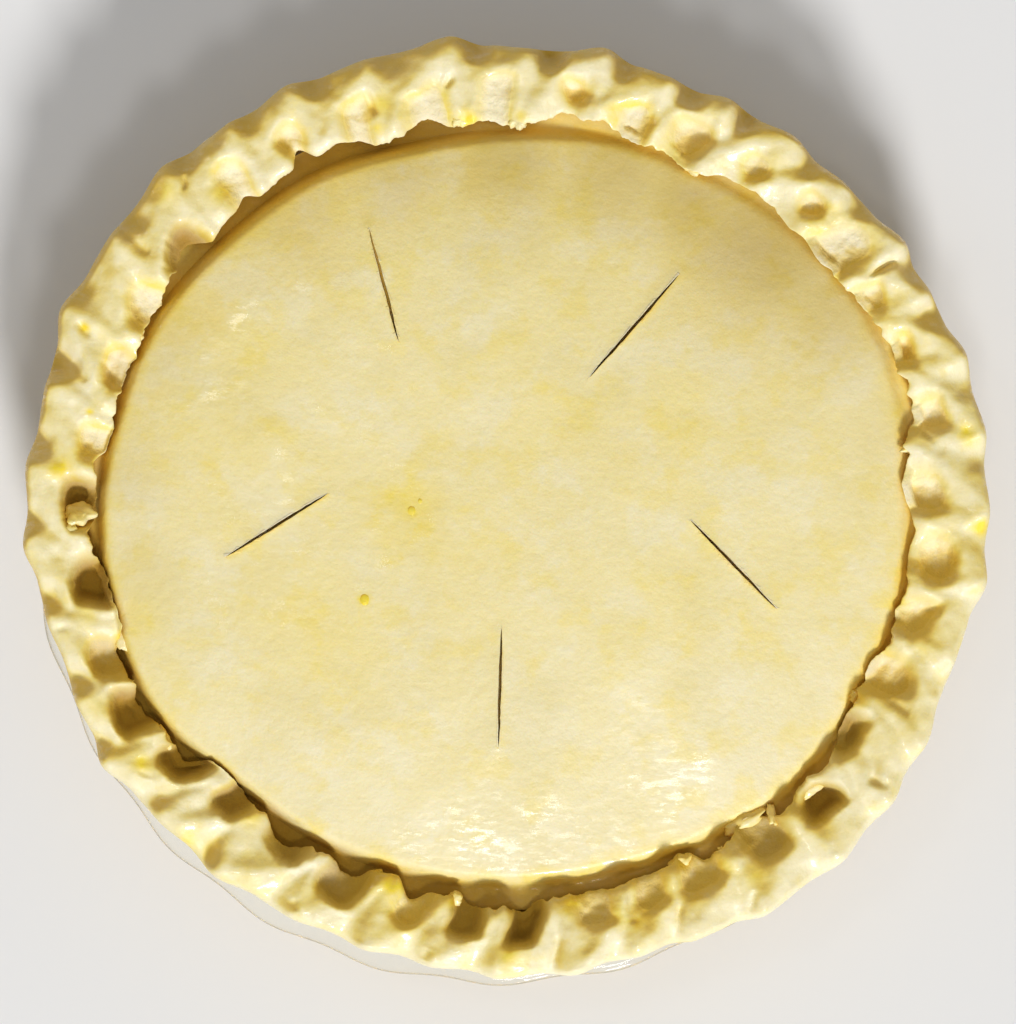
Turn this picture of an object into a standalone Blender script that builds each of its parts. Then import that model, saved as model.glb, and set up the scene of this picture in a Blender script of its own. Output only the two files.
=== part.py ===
"""An unbaked double-crust pie in its clear glass pie plate: two solids, the plate and the pastry.

The pastry is one lump of raw dough: a flat-topped dome with five vent slits, and a thick rim
that was pinched by hand, with a zigzag crest and a pocket pressed in beside each ridge.
Metres, +Z up, origin at the middle of the plate's foot.
"""

import math
import random

import bmesh
import bpy
from mathutils import Vector, noise

MM = 0.001

# Glass plate. Each profile point is (radius, height), from the foot's middle round to the floor's middle.
PLATE_SIDES = 96
PLATE_OUTSIDE = (
    (0, 0), (87.5, 0), (91, 1.1), (93.6, 4), (112.6, 31), (115.6, 33.6),
    (126, 34.4), (129.2, 35.2), (130, 36.4), (129.2, 37.6), (127.4, 38),
)
PLATE_INSIDE = ((114.4, 38), (111.4, 37), (108.6, 34), (92.1, 10.6), (88.6, 6.8), (83, 5.4), (0, 5.4))
FLANGE_TOP = 38 * MM
FLANGE_INNER_RADIUS = 114.4 * MM
RIM_RADIUS = 130 * MM
SCALLOPS = 24
SCALLOP_DEPTH = 0.8 * MM

# The pastry lies on the glass all round, and its middle is a little off the plate's.
GAP = 0.3 * MM
PASTRY_CENTRE = Vector((1.9, 1.4, 0)) * MM

# Every pinch of the rim, as the hand left them: the bearing of its ridge in degrees, the radii
# in millimetres that the ridge reaches outwards over the glass and inwards over the lid, and
# the bearing and radius of the pocket that the fingertip pressed in beside it.
PINCHES = (
    (0, 134, 113, 2.5, 124.5), (9.3, 135, 111, 13.5, 119), (19, 135, 115, 22, 120.5), (26.5, 133, 113, 29.5, 119),
    (34, 133, 111, 39.5, 118), (44, 131, 111, 47, 121), (53, 131, 112, 55.5, 119), (61.5, 130, 107, 64.5, 118),
    (69.5, 129, 108, 73, 114.5), (78, 131, 110, 81, 118), (87.5, 129, 107, 91.5, 115), (97, 133, 107, 102.5, 114),
    (107.5, 131, 107, 112, 116), (117, 133, 111, 120, 118.5), (126, 132, 111, 130, 119), (135, 135, 111, 141.5, 120),
    (145.5, 134, 113, 151, 121), (155, 136, 112, 160, 121), (164.5, 133, 111, 170, 120), (175, 134, 114, 178.5, 119),
    (184, 135, 115, 189.5, 116.5), (193, 131, 111, 199.5, 118), (204, 131, 113, 207.5, 117.5),
    (212, 132, 112, 216.5, 114), (222, 129, 105, 226, 114.5), (231, 130, 107, 236, 113), (242, 127, 107, 246.5, 115.5),
    (252, 128, 104, 256.5, 113.5), (261.5, 128, 107, 264.5, 115), (269, 130, 108, 272.5, 116),
    (279, 131, 108, 282, 115), (287, 129, 107, 290.5, 115), (294.5, 130, 106, 298.5, 116.5), (303, 133, 108, 309, 116.5),
    (314, 135, 111, 317, 119.5), (323, 134, 112, 327.5, 113), (332.5, 133, 109, 337, 117), (342, 131, 112, 346.5, 118.5),
    (351, 135, 112, 354, 122),
)

# The crest of the rim zigzags in plan: straight out along a ridge, then slanting back in over
# the pocket beside it to the next ridge's inner end. Heights are millimetres above the flange.
UNROLL_RADIUS = 121 * MM
LOBE_INSET = 6.8 * MM
TIP_INSET = 3.0 * MM
CREST_HEIGHT = 12.6
TIP_HEIGHT = 10.6
CREST_FLAT = 0.5 * MM
CREST_FALL = 3.4 * MM
CREST_BLEND = 1.2 * MM
CREST_SPREAD = 1.2
SHELF_HEIGHT = 9.2
FLUTE_INDENT = 2.4 * MM
HAND_WARP = 1.5 * MM
HAND_WARP_SIZE = 13 * MM

# A pocket is a fingertip dent, rounded outwards and running on inwards as an arch to the gutter,
# its long axis along the slant. A low lip closes it where the rim is shallow.
POCKET_HEIGHT = 1.7
POCKET_LENGTH = 8.6 * MM
POCKET_WIDTH = 6.2 * MM
POCKET_SPREAD = 0.14
POCKET_SLANT = math.radians(-60)
POCKET_RUN = 0.42
POCKET_WALL = 0.62
LIP_MEAN = 3.6
LIP_SWING = 2.2

# How deep the pockets are scooped, as a share of the whole depth, and the heights of the gutter
# and of the lid's shoulder over it. All three steps are greatest at one bearing.
DEEPEST_BEARING = 200
SCOOP_MEAN = 0.82
SCOOP_SWING = 0.14
SCOOP_SPREAD = 0.08
GUTTER_MEAN = 2.5
GUTTER_SWING = 0.9
SHOULDER_MEAN = 5.6
SHOULDER_SWING = 1.6

# Rows of the rim's surface, from the gutter over the top to the underside. Both ends are rounded.
INNER_CAP = 3.2 * MM
OUTER_CAP = 5.6 * MM
CAP_TUCK = math.radians(48)
INNER_CAP_ROWS = 3
TOP_ROWS = 6
OUTER_CAP_ROWS = 4
COLUMNS_PER_PINCH = 7

SHAPE_SEED = 11

# Lid: a dome with a steep shoulder that falls to a gutter along the rim, an oval from above.
GUTTER_RADIUS = 108.2 * MM
GUTTER_OVAL = 3.2 * MM
LID_HEIGHT = 13.2
SHOULDER_WIDTH = 4 * MM
DOME_POWER = 2.6
LID_TUCK = 2.2 * MM
NOSE_LIFT = 1.1
LIP_RISE = 2.2
LID_RINGS = ((1.0, 273), (0.975, 117), (0.945, 117), (0.88, 78), (0.76, 78), (0.6, 39), (0.4, 39), (0.2, 13))
WALL_RING_SIDES = (117, 117, 78, 78, 78, 39)

# Vent slits: middle x and y, bearing in degrees and length.
SLITS = (
    (-32, 64, 104.7, 32.5), (37, 52.7, 49, 38), (-61.5, -2.2, 31.7, 33),
    (64.3, -13, -45.7, 34.5), (0, -47, 88.5, 33),
)
SLIT_WIDTH = 1.2 * MM
SLIT_DEPTH = 4.5 * MM
SLIT_CLEARANCE = 3 * MM

# Scraps of dough that stand on the rim: position in pinches, radius and lift above the dough
# there, the half sizes along the rim, across it and upwards, and how far each is turned.
SCRAPS = (
    (19.6, 118.8, 1.2, 2.2, 4.0, 2.2, 25),
    (33.6, 112.0, 0.6, 4.6, 1.8, 1.9, -28),
    (33.05, 112.2, 0.2, 2.3, 3.0, 1.8, 10),
    (21.95, 116.6, 0.2, 1.9, 3.4, 1.7, 15),
    (24.05, 121.6, 0.2, 1.7, 4.4, 1.6, 12),
    (1.0, 116.2, 0.3, 2.4, 4.2, 1.7, -4),
)
SCRAP_SUBDIVISIONS = 2
SCRAP_UNEVENNESS = 0.25

DOUGH = {"color": (0.82, 0.70, 0.40, 1), "roughness": 0.42}
GLASS = {"color": (0.86, 0.89, 0.87, 1), "roughness": 0.05}


def clear_scene():
    for obj in list(bpy.data.objects):
        bpy.data.objects.remove(obj)


def material(name, finish):
    made = bpy.data.materials.new(name)
    made.use_nodes = True
    shader = made.node_tree.nodes["Principled BSDF"]
    shader.inputs["Base Color"].default_value = finish["color"]
    shader.inputs["Roughness"].default_value = finish["roughness"]
    shader.inputs["Metallic"].default_value = 0
    made.diffuse_color = finish["color"]
    return made


def object_of(name, mesh, finish=None):
    """The bmesh as an object of the scene, closed, facing out and shaded smooth."""
    bmesh.ops.recalc_face_normals(mesh, faces=mesh.faces)
    data = bpy.data.meshes.new(name)
    mesh.to_mesh(data)
    mesh.free()
    if finish:
        data.materials.append(material(name, finish))
    data.shade_smooth()
    made = bpy.data.objects.new(name, data)
    bpy.context.scene.collection.objects.link(made)
    return made


def zip_rings(mesh, first, second):
    """Joins two closed rings of vertices by triangles, whatever their counts."""
    i = j = 0
    while i < len(first) or j < len(second):
        a, b = first[i % len(first)], second[j % len(second)]
        if j == len(second) or (i < len(first) and (i + 1) * len(second) <= (j + 1) * len(first)):
            i += 1
            mesh.faces.new((a, first[i % len(first)], b))
        else:
            j += 1
            mesh.faces.new((a, second[j % len(second)], b))


def close_ring(mesh, ring, middle):
    centre = mesh.verts.new(middle)
    for a, b in zip(ring, ring[1:] + ring[:1]):
        mesh.faces.new((a, b, centre))


def zip_all(mesh, rings):
    for first, second in zip(rings, rings[1:]):
        zip_rings(mesh, first, second)


def on_circle(radius, bearing, height, centre=Vector()):
    angle = math.radians(bearing)
    return centre + Vector((radius * math.cos(angle), radius * math.sin(angle), height))


# Glass plate


def scalloped(radius, bearing):
    """The radius with the rim's shallow scallops, which fade out across the flange."""
    share = max(0, (radius - FLANGE_INNER_RADIUS) / (RIM_RADIUS - FLANGE_INNER_RADIUS))
    return radius + share * SCALLOP_DEPTH * math.cos(math.radians(SCALLOPS * bearing))


def make_plate():
    mesh = bmesh.new()
    profile = PLATE_OUTSIDE + PLATE_INSIDE
    bearings = [360 * k / PLATE_SIDES for k in range(PLATE_SIDES)]
    rings = [
        [mesh.verts.new(on_circle(scalloped(r * MM, b), b, z * MM)) for b in bearings]
        for r, z in profile[1:-1]
    ]
    zip_all(mesh, rings)
    close_ring(mesh, rings[0], (0, 0, 0))
    close_ring(mesh, rings[-1], (0, 0, profile[-1][1] * MM))
    return object_of("dish", mesh, GLASS)


# Pastry


def between(values, position):
    """A smooth curve through the values, which repeat, read at any position along them."""
    k = math.floor(position)
    t = position - k
    a, b, c, d = (values[(k + step) % len(values)] for step in (-1, 0, 1, 2))
    return b + t / 2 * (c - a + t * (2 * a - 5 * b + 4 * c - d + t * (3 * (b - c) + d - a)))


def smooth_step(value):
    t = min(max(value, 0), 1)
    return t * t * (3 - 2 * t)


class Rim:
    """The pinched rim. A position counts pinches round it: whole on a ridge, half in a pocket."""

    def __init__(self):
        draw = random.Random(SHAPE_SEED)
        self.count = len(PINCHES)
        self.outer = [outer * MM for _, outer, _, _, _ in PINCHES]
        self.inner = [inner * MM for _, _, inner, _, _ in PINCHES]
        self.drift = [bearing - k * 360 / self.count for k, (bearing, *_) in enumerate(PINCHES)]
        self.crest = [CREST_HEIGHT + draw.uniform(-1, 1) * CREST_SPREAD for _ in PINCHES]
        self.scoop = [self.scoop_at(k + 0.5, draw.uniform(-1, 1)) for k in range(self.count)]
        self.pocket_size = [1 + draw.uniform(-1, 1) * POCKET_SPREAD for _ in PINCHES]

    def bearing(self, position):
        return position * 360 / self.count + between(self.drift, position)

    def depth_share(self, position):
        """1 where the pockets and the gutter are deepest, -1 across the pie."""
        return math.cos(math.radians(self.bearing(position) - DEEPEST_BEARING))

    def scoop_at(self, position, chance):
        return SCOOP_MEAN + SCOOP_SWING * self.depth_share(position) + SCOOP_SPREAD * chance

    def gutter_radius(self, position):
        return GUTTER_RADIUS + GUTTER_OVAL * math.cos(math.radians(2 * self.bearing(position)))

    def lid(self, position, radius):
        """Height of the lid's top above the flange, in millimetres: a gutter, a shoulder and a dome."""
        share = min(radius / self.gutter_radius(position), 1)
        gutter = GUTTER_MEAN - GUTTER_SWING * self.depth_share(position)
        shoulder = SHOULDER_MEAN + SHOULDER_SWING * self.depth_share(position)
        step = (shoulder - gutter) * smooth_step((1 - share) * GUTTER_RADIUS / SHOULDER_WIDTH)
        return gutter + step + (LID_HEIGHT - shoulder) * (1 - share**DOME_POWER)

    def flat(self, position, radius):
        """The rim unrolled: distance along it, and radius."""
        return Vector((math.radians(self.bearing(position)) * UNROLL_RADIUS, radius))

    def warped(self, position, radius):
        """The same, moved a little by an unsteady hand."""
        on_rim = on_circle(radius, self.bearing(position), 0)
        shift = noise.noise_vector(on_rim / HAND_WARP_SIZE) * HAND_WARP
        return self.flat(position, radius) + shift.xy

    def lobe(self, k):
        return self.flat(k, self.outer[k % self.count] - LOBE_INSET)

    def tip(self, k):
        return self.flat(k, self.inner[k % self.count] + TIP_INSET)

    def crest_at(self, point, k):
        """Distance to the crest line near pinch k, and the crest's height there."""
        total = height = 0
        for j in range(k - 1, k + 3):
            crest = self.crest[j % self.count]
            for start, end in ((self.tip(j), self.lobe(j)), (self.tip(j), self.lobe(j - 1))):
                leg = end - start
                t = min(max((point - start).dot(leg) / leg.length_squared, 0), 1)
                weight = math.exp(-(point - start - leg * t).length / CREST_BLEND)
                total += weight
                height += weight * (TIP_HEIGHT + (crest - TIP_HEIGHT) * t)
        return -CREST_BLEND * math.log(total), height / total

    def reach(self, position):
        """The rim's inner and outer radius at a position."""
        indent = FLUTE_INDENT * math.sin(math.pi * position) ** 2
        return between(self.inner, position) + indent, between(self.outer, position) - indent

    def pocket_at(self, point, k):
        """How far the fingertip's dent k is pressed in at a point, from 0 outside it to 1 on its floor."""
        _, _, _, bearing, radius = PINCHES[k % self.count]
        turns = k // self.count
        middle = Vector((math.radians(bearing + 360 * turns) * UNROLL_RADIUS, radius * MM))
        local = point - middle
        if local.y < 0:
            local.y *= POCKET_RUN
        along = local.x * math.cos(POCKET_SLANT) + local.y * math.sin(POCKET_SLANT)
        across = local.y * math.cos(POCKET_SLANT) - local.x * math.sin(POCKET_SLANT)
        size = self.pocket_size[k % self.count]
        reach = math.hypot(along / POCKET_LENGTH, across / POCKET_WIDTH) / size
        return 1 - smooth_step((reach - 1 + POCKET_WALL) / POCKET_WALL)

    def top(self, position, radius):
        """Height of the rim's top above the flange, in millimetres."""
        k = math.floor(position)
        point = self.warped(position, radius)
        distance, crest = self.crest_at(point, k)
        body = crest + (SHELF_HEIGHT - crest) * smooth_step((distance - CREST_FLAT) / CREST_FALL)
        inner, _ = self.reach(position)
        lip = (LIP_MEAN - LIP_SWING * self.depth_share(position)) * smooth_step(1 - (radius - inner) / (2 * INNER_CAP))
        for j in (k - 1, k, k + 1):
            scoop = self.scoop[j % self.count] * self.pocket_at(point, j)
            body += (min(POCKET_HEIGHT + lip, body) - body) * scoop
        return body

    def section(self, position):
        """Radius and height of each row at a position, in metres, from the lid to the underside."""
        inner, outer = self.reach(position)
        rows = []
        for k in range(INNER_CAP_ROWS):
            turn = -CAP_TUCK + (CAP_TUCK + math.pi / 2) * k / INNER_CAP_ROWS
            radius = inner + INNER_CAP * (1 - math.cos(turn))
            rows.append((radius, turn, self.lid(position, radius) + NOSE_LIFT))
        for k in range(TOP_ROWS):
            share = k / (TOP_ROWS - 1)
            rows.append((inner + INNER_CAP + (outer - OUTER_CAP - inner - INNER_CAP) * share, math.pi / 2, 0))
        for k in range(OUTER_CAP_ROWS):
            turn = math.pi / 2 - (CAP_TUCK + math.pi / 2) * (k + 1) / OUTER_CAP_ROWS
            rows.append((outer - OUTER_CAP * (1 - math.cos(turn)), turn, 0))
        points = []
        for radius, turn, low in rows:
            full = (math.sin(turn) + math.sin(CAP_TUCK)) / (1 + math.sin(CAP_TUCK))
            rise = max(self.top(position, radius) - low, LIP_RISE) * full
            points.append((radius, (low + rise) * MM))
        return points

    def rings(self, mesh):
        """Rings of vertices, one for each row."""
        columns = []
        for k in range(self.count * COLUMNS_PER_PINCH):
            position = k / COLUMNS_PER_PINCH
            column = []
            for radius, height in self.section(position):
                point = on_circle(radius, self.bearing(position), FLANGE_TOP + GAP + height, PASTRY_CENTRE)
                column.append(mesh.verts.new(point))
            columns.append(column)
        return [list(ring) for ring in zip(*columns)]


def lid_point(rim, position, share):
    """A point of the lid's top, whose edge lies under the inner ends of the ridges."""
    inner, _ = rim.reach(position)
    radius = share * min(rim.gutter_radius(position), inner + LID_TUCK)
    height = FLANGE_TOP + GAP + rim.lid(position, radius) * MM
    return on_circle(radius, rim.bearing(position), height, PASTRY_CENTRE)


def ring_of(mesh, sides, place):
    return [mesh.verts.new(place(len(PINCHES) * k / sides)) for k in range(sides)]


def make_dough(rim):
    mesh = bmesh.new()
    lid = [ring_of(mesh, sides, lambda p, s=share: lid_point(rim, p, s)) for share, sides in LID_RINGS]
    wall = [
        ring_of(mesh, sides, lambda p, r=r, z=z: on_circle(r * MM - GAP, rim.bearing(p), z * MM + GAP))
        for (r, z), sides in zip(PLATE_INSIDE, WALL_RING_SIDES)
    ]
    rings = lid[::-1] + rim.rings(mesh) + wall
    zip_all(mesh, rings)
    close_ring(mesh, rings[0], lid_point(rim, 0, 0))
    close_ring(mesh, rings[-1], (0, 0, PLATE_INSIDE[-1][1] * MM + GAP))
    return object_of("pastry", mesh, DOUGH)


def make_slit(rim, index, x, y, bearing, length):
    """A thin wedge, pointed at both ends, that cuts one vent through the top crust."""
    mesh = bmesh.new()
    along = Vector((math.cos(math.radians(bearing)), math.sin(math.radians(bearing)), 0))
    across = Vector((-along.y, along.x, 0)) * SLIT_WIDTH / 2
    middle = Vector((x, y, 0)) * MM
    surface = FLANGE_TOP + GAP + rim.lid(0, (middle - PASTRY_CENTRE).length) * MM
    top = Vector((0, 0, surface + SLIT_CLEARANCE))
    bottom = Vector((0, 0, surface - SLIT_DEPTH))
    ends = [middle + along * length * MM * step for step in (-0.5, -0.2, 0.2, 0.5)]
    outline = [ends[0], ends[1] - across, ends[2] - across, ends[3], ends[2] + across, ends[1] + across]
    upper = [mesh.verts.new(point + top) for point in outline]
    lower = [mesh.verts.new(point + bottom) for point in outline]
    mesh.faces.new(upper)
    mesh.faces.new(lower[::-1])
    for k in range(len(outline)):
        after = (k + 1) % len(outline)
        mesh.faces.new((lower[k], lower[after], upper[after], upper[k]))
    return object_of(f"slit_{index}", mesh)


def make_scrap(pastry, rim, index, position, radius, lift, along, across, up, turn):
    """A scrap of dough, fused to the pastry where it lies."""
    mesh = bmesh.new()
    bmesh.ops.create_icosphere(mesh, subdivisions=SCRAP_SUBDIVISIONS, radius=MM)
    for vert in mesh.verts:
        vert.co *= 1 + SCRAP_UNEVENNESS * noise.noise(vert.co / MM + Vector((index, 0, 0)))
    made = object_of(f"scrap_{index}", mesh)
    made.scale = (across, along, up)
    made.rotation_euler.z = math.radians(rim.bearing(position) + turn)
    above = on_circle(radius * MM, rim.bearing(position), 2 * FLANGE_TOP, PASTRY_CENTRE)
    _, landing, _, _ = pastry.ray_cast(above, (0, 0, -1))
    made.location = landing + Vector((0, 0, lift * MM))
    return made


def boolean(target, others, operation):
    """Joins the others to the target, or cuts them from it, and removes them."""
    group = bpy.data.collections.new(operation.lower())
    bpy.context.scene.collection.children.link(group)
    for other in others:
        bpy.context.scene.collection.objects.unlink(other)
        group.objects.link(other)
    cut = target.modifiers.new(operation.lower(), "BOOLEAN")
    cut.operation = operation
    cut.operand_type = "COLLECTION"
    cut.collection = group
    cut.solver = "EXACT"
    bpy.context.view_layer.update()
    result = bpy.data.meshes.new_from_object(target.evaluated_get(bpy.context.evaluated_depsgraph_get()))
    target.modifiers.clear()
    target.data = result
    for other in others:
        bpy.data.objects.remove(other)
    bpy.data.collections.remove(group)


def main():
    clear_scene()
    make_plate()
    rim = Rim()
    pastry = make_dough(rim)
    bpy.context.view_layer.update()
    boolean(pastry, [make_scrap(pastry, rim, k, *scrap) for k, scrap in enumerate(SCRAPS)], "UNION")
    boolean(pastry, [make_slit(rim, k, *slit) for k, slit in enumerate(SLITS)], "DIFFERENCE")


main()
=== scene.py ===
import math
import random

import bmesh
import bpy
import numpy as np
from mathutils import Matrix, Vector, noise
from mathutils.bvhtree import BVHTree


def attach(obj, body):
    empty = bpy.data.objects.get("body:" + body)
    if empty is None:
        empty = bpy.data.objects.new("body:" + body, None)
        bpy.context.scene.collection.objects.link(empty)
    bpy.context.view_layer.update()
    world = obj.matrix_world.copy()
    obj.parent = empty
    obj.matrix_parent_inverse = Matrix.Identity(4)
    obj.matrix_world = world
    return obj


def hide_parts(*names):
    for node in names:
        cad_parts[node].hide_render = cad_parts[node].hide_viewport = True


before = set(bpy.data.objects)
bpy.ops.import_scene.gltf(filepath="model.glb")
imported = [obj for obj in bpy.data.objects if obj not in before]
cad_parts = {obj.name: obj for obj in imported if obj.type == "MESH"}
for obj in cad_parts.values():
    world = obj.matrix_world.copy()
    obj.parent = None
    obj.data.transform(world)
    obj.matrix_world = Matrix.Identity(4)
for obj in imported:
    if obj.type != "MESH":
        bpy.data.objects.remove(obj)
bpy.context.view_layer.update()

print("frame loaded:", ", ".join(sorted(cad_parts)))

mm = 0.001


def operator(operation, swap=False):
    return lambda self, other: self.maths(operation, other, swap)


# a socket that can be added and multiplied like a number
class Wire:
    def __init__(self, graph, socket):
        self.graph = graph
        self.socket = socket

    def maths(self, operation, other=0, swap=False, clamp=False):
        first, second = (other, self) if swap else (self, other)
        return self.graph.node("ShaderNodeMath", {0: first, 1: second}, operation=operation, use_clamp=clamp)

    __add__, __radd__ = operator("ADD"), operator("ADD", swap=True)
    __sub__, __rsub__ = operator("SUBTRACT"), operator("SUBTRACT", swap=True)
    __mul__, __rmul__ = operator("MULTIPLY"), operator("MULTIPLY", swap=True)
    __truediv__ = operator("DIVIDE")

    def clamped(self):
        return self.maths("ADD", 0, clamp=True)

    # 0 below start, 1 above end, smooth between
    def rise(self, start, end):
        return self.graph.node("ShaderNodeMapRange", {"Value": self, "From Min": start, "From Max": end},
                               interpolation_type="SMOOTHSTEP")


# a node tree that is written as sums; node() makes any node and hands back one of its outputs
class Graph:
    def __init__(self, tree):
        self.tree = tree

    def node(self, kind, sockets=None, out=0, **settings):
        made = self.tree.nodes.new(kind)
        for name, value in settings.items():
            setattr(made, name, value)
        for key, value in (sockets or {}).items():
            self.feed(made.inputs[key], value)
        return Wire(self, made.outputs[out]) if made.outputs else made

    def feed(self, socket, value):
        if isinstance(value, Wire):
            self.tree.links.new(value.socket, socket)
        else:
            socket.default_value = value

    def mix(self, share, first, second):
        made = self.tree.nodes.new("ShaderNodeMix")
        made.data_type = "RGBA"
        for key, value in ((0, share), (6, first), (7, second)):
            self.feed(made.inputs[key], value)
        return Wire(self, made.outputs[2])

    def ramp(self, share, stops):
        made = self.tree.nodes.new("ShaderNodeValToRGB")
        self.feed(made.inputs[0], share)
        marks = made.color_ramp.elements
        for k, (at, colour) in enumerate(stops):
            mark = marks[k] if k < len(marks) else marks.new(at)
            mark.position, mark.color = at, (*colour, 1)
        return Wire(self, made.outputs[0])

    def attribute(self, name):
        return self.node("ShaderNodeAttribute", attribute_name=name, out=2)

    def blotches(self, place, scale, detail, roughness):
        return self.node("ShaderNodeTexNoise", {"Vector": place, "Scale": scale, "Detail": detail,
                                                "Roughness": roughness})


def newMaterial(name):
    made = bpy.data.materials.new(name)
    made.use_nodes = True
    made.node_tree.nodes.clear()
    return made, Graph(made.node_tree)


# Camera, floor and light

cameraSet = {"place": (0.0022, 0.0014, 1.345), "lens": 165.2, "sensor": 36, "far": 10}

lightSet = {
    "keyBearing": -76, "keyRise": 34, "keyPower": 2.7, "keyWidth": 11,
    "fills": (
        # bearing, rise, distance, width, power
        (-82, 63, 1.3, 0.20, 2.5),
        (150, 30, 1.1, 0.25, 0.5),
        (35, 38, 1.1, 0.3, 0.3),
        (146, 71, 1.4, 0.08, 0.35),
        (182, 83, 1.7, 0.05, 0.25),
    ),
    "sky": 0.28, "mirroredSky": 0.85,
}

floorSet = {"size": 4.0, "colour": (0.80, 0.795, 0.79, 1), "roughness": 0.55}


def towards(bearing, rise):
    turn, lift = math.radians(bearing), math.radians(rise)
    return Vector((math.cos(turn) * math.cos(lift), math.sin(turn) * math.cos(lift), math.sin(lift)))


def makeCamera():
    lens = bpy.data.cameras.new("overheadCamera")
    lens.lens, lens.sensor_width, lens.clip_end = cameraSet["lens"], cameraSet["sensor"], cameraSet["far"]
    camera = bpy.data.objects.new("overheadCamera", lens)
    camera.location = cameraSet["place"]
    bpy.context.scene.collection.objects.link(camera)
    bpy.context.scene.camera = camera
    bpy.context.scene.view_settings.view_transform = "Standard"


def addLamp(name, kind, direction, distance):
    lamp = bpy.data.lights.new(name, kind)
    made = bpy.data.objects.new(name, lamp)
    made.location = direction * distance
    made.rotation_euler = direction.to_track_quat("Z", "Y").to_euler()
    bpy.context.scene.collection.objects.link(made)
    return lamp


def makeLight():
    key = addLamp("keyLamp", "SUN", towards(lightSet["keyBearing"], lightSet["keyRise"]), 2)
    key.energy = lightSet["keyPower"]
    key.angle = math.radians(lightSet["keyWidth"])
    for index, (bearing, rise, distance, width, power) in enumerate(lightSet["fills"]):
        fill = addLamp(f"fillLamp{index}", "AREA", towards(bearing, rise), distance)
        fill.shape, fill.size, fill.energy = "SQUARE", width, power
    world = bpy.data.worlds.new("studio")
    bpy.context.scene.world = world
    world.use_nodes = True
    world.node_tree.nodes.clear()
    graph = Graph(world.node_tree)
    diffuse = graph.node("ShaderNodeLightPath", out="Is Diffuse Ray")
    strength = lightSet["mirroredSky"] + diffuse * (lightSet["sky"] - lightSet["mirroredSky"])
    sky = graph.node("ShaderNodeBackground", {"Color": (1, 1, 1, 1), "Strength": strength})
    graph.node("ShaderNodeOutputWorld", {"Surface": sky})


def makeFloor():
    half = floorSet["size"] / 2
    mesh = bpy.data.meshes.new("studioFloor")
    corners = [(x * half, y * half, 0) for x, y in ((-1, -1), (1, -1), (1, 1), (-1, 1))]
    mesh.from_pydata(corners, [], [(0, 1, 2, 3)])
    floor = bpy.data.objects.new("studioFloor", mesh)
    bpy.context.scene.collection.objects.link(floor)
    paint, graph = newMaterial("paleFloor")
    shader = graph.node("ShaderNodeBsdfPrincipled", {"Base Color": floorSet["colour"],
                                                     "Roughness": floorSet["roughness"]})
    graph.node("ShaderNodeOutputMaterial", {"Surface": shader})
    mesh.materials.append(paint)


makeCamera()
makeLight()
makeFloor()
print("camera, lights and floor placed")


# Glass and dough

glassLook = {
    "colour": (0.965, 0.985, 0.975, 1), "roughness": 0.03, "ior": 1.46,
    "shade": (0.97, 0.98, 0.975, 1), "clear": 0.55,      # what passes straight through, and its least share
}

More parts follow.
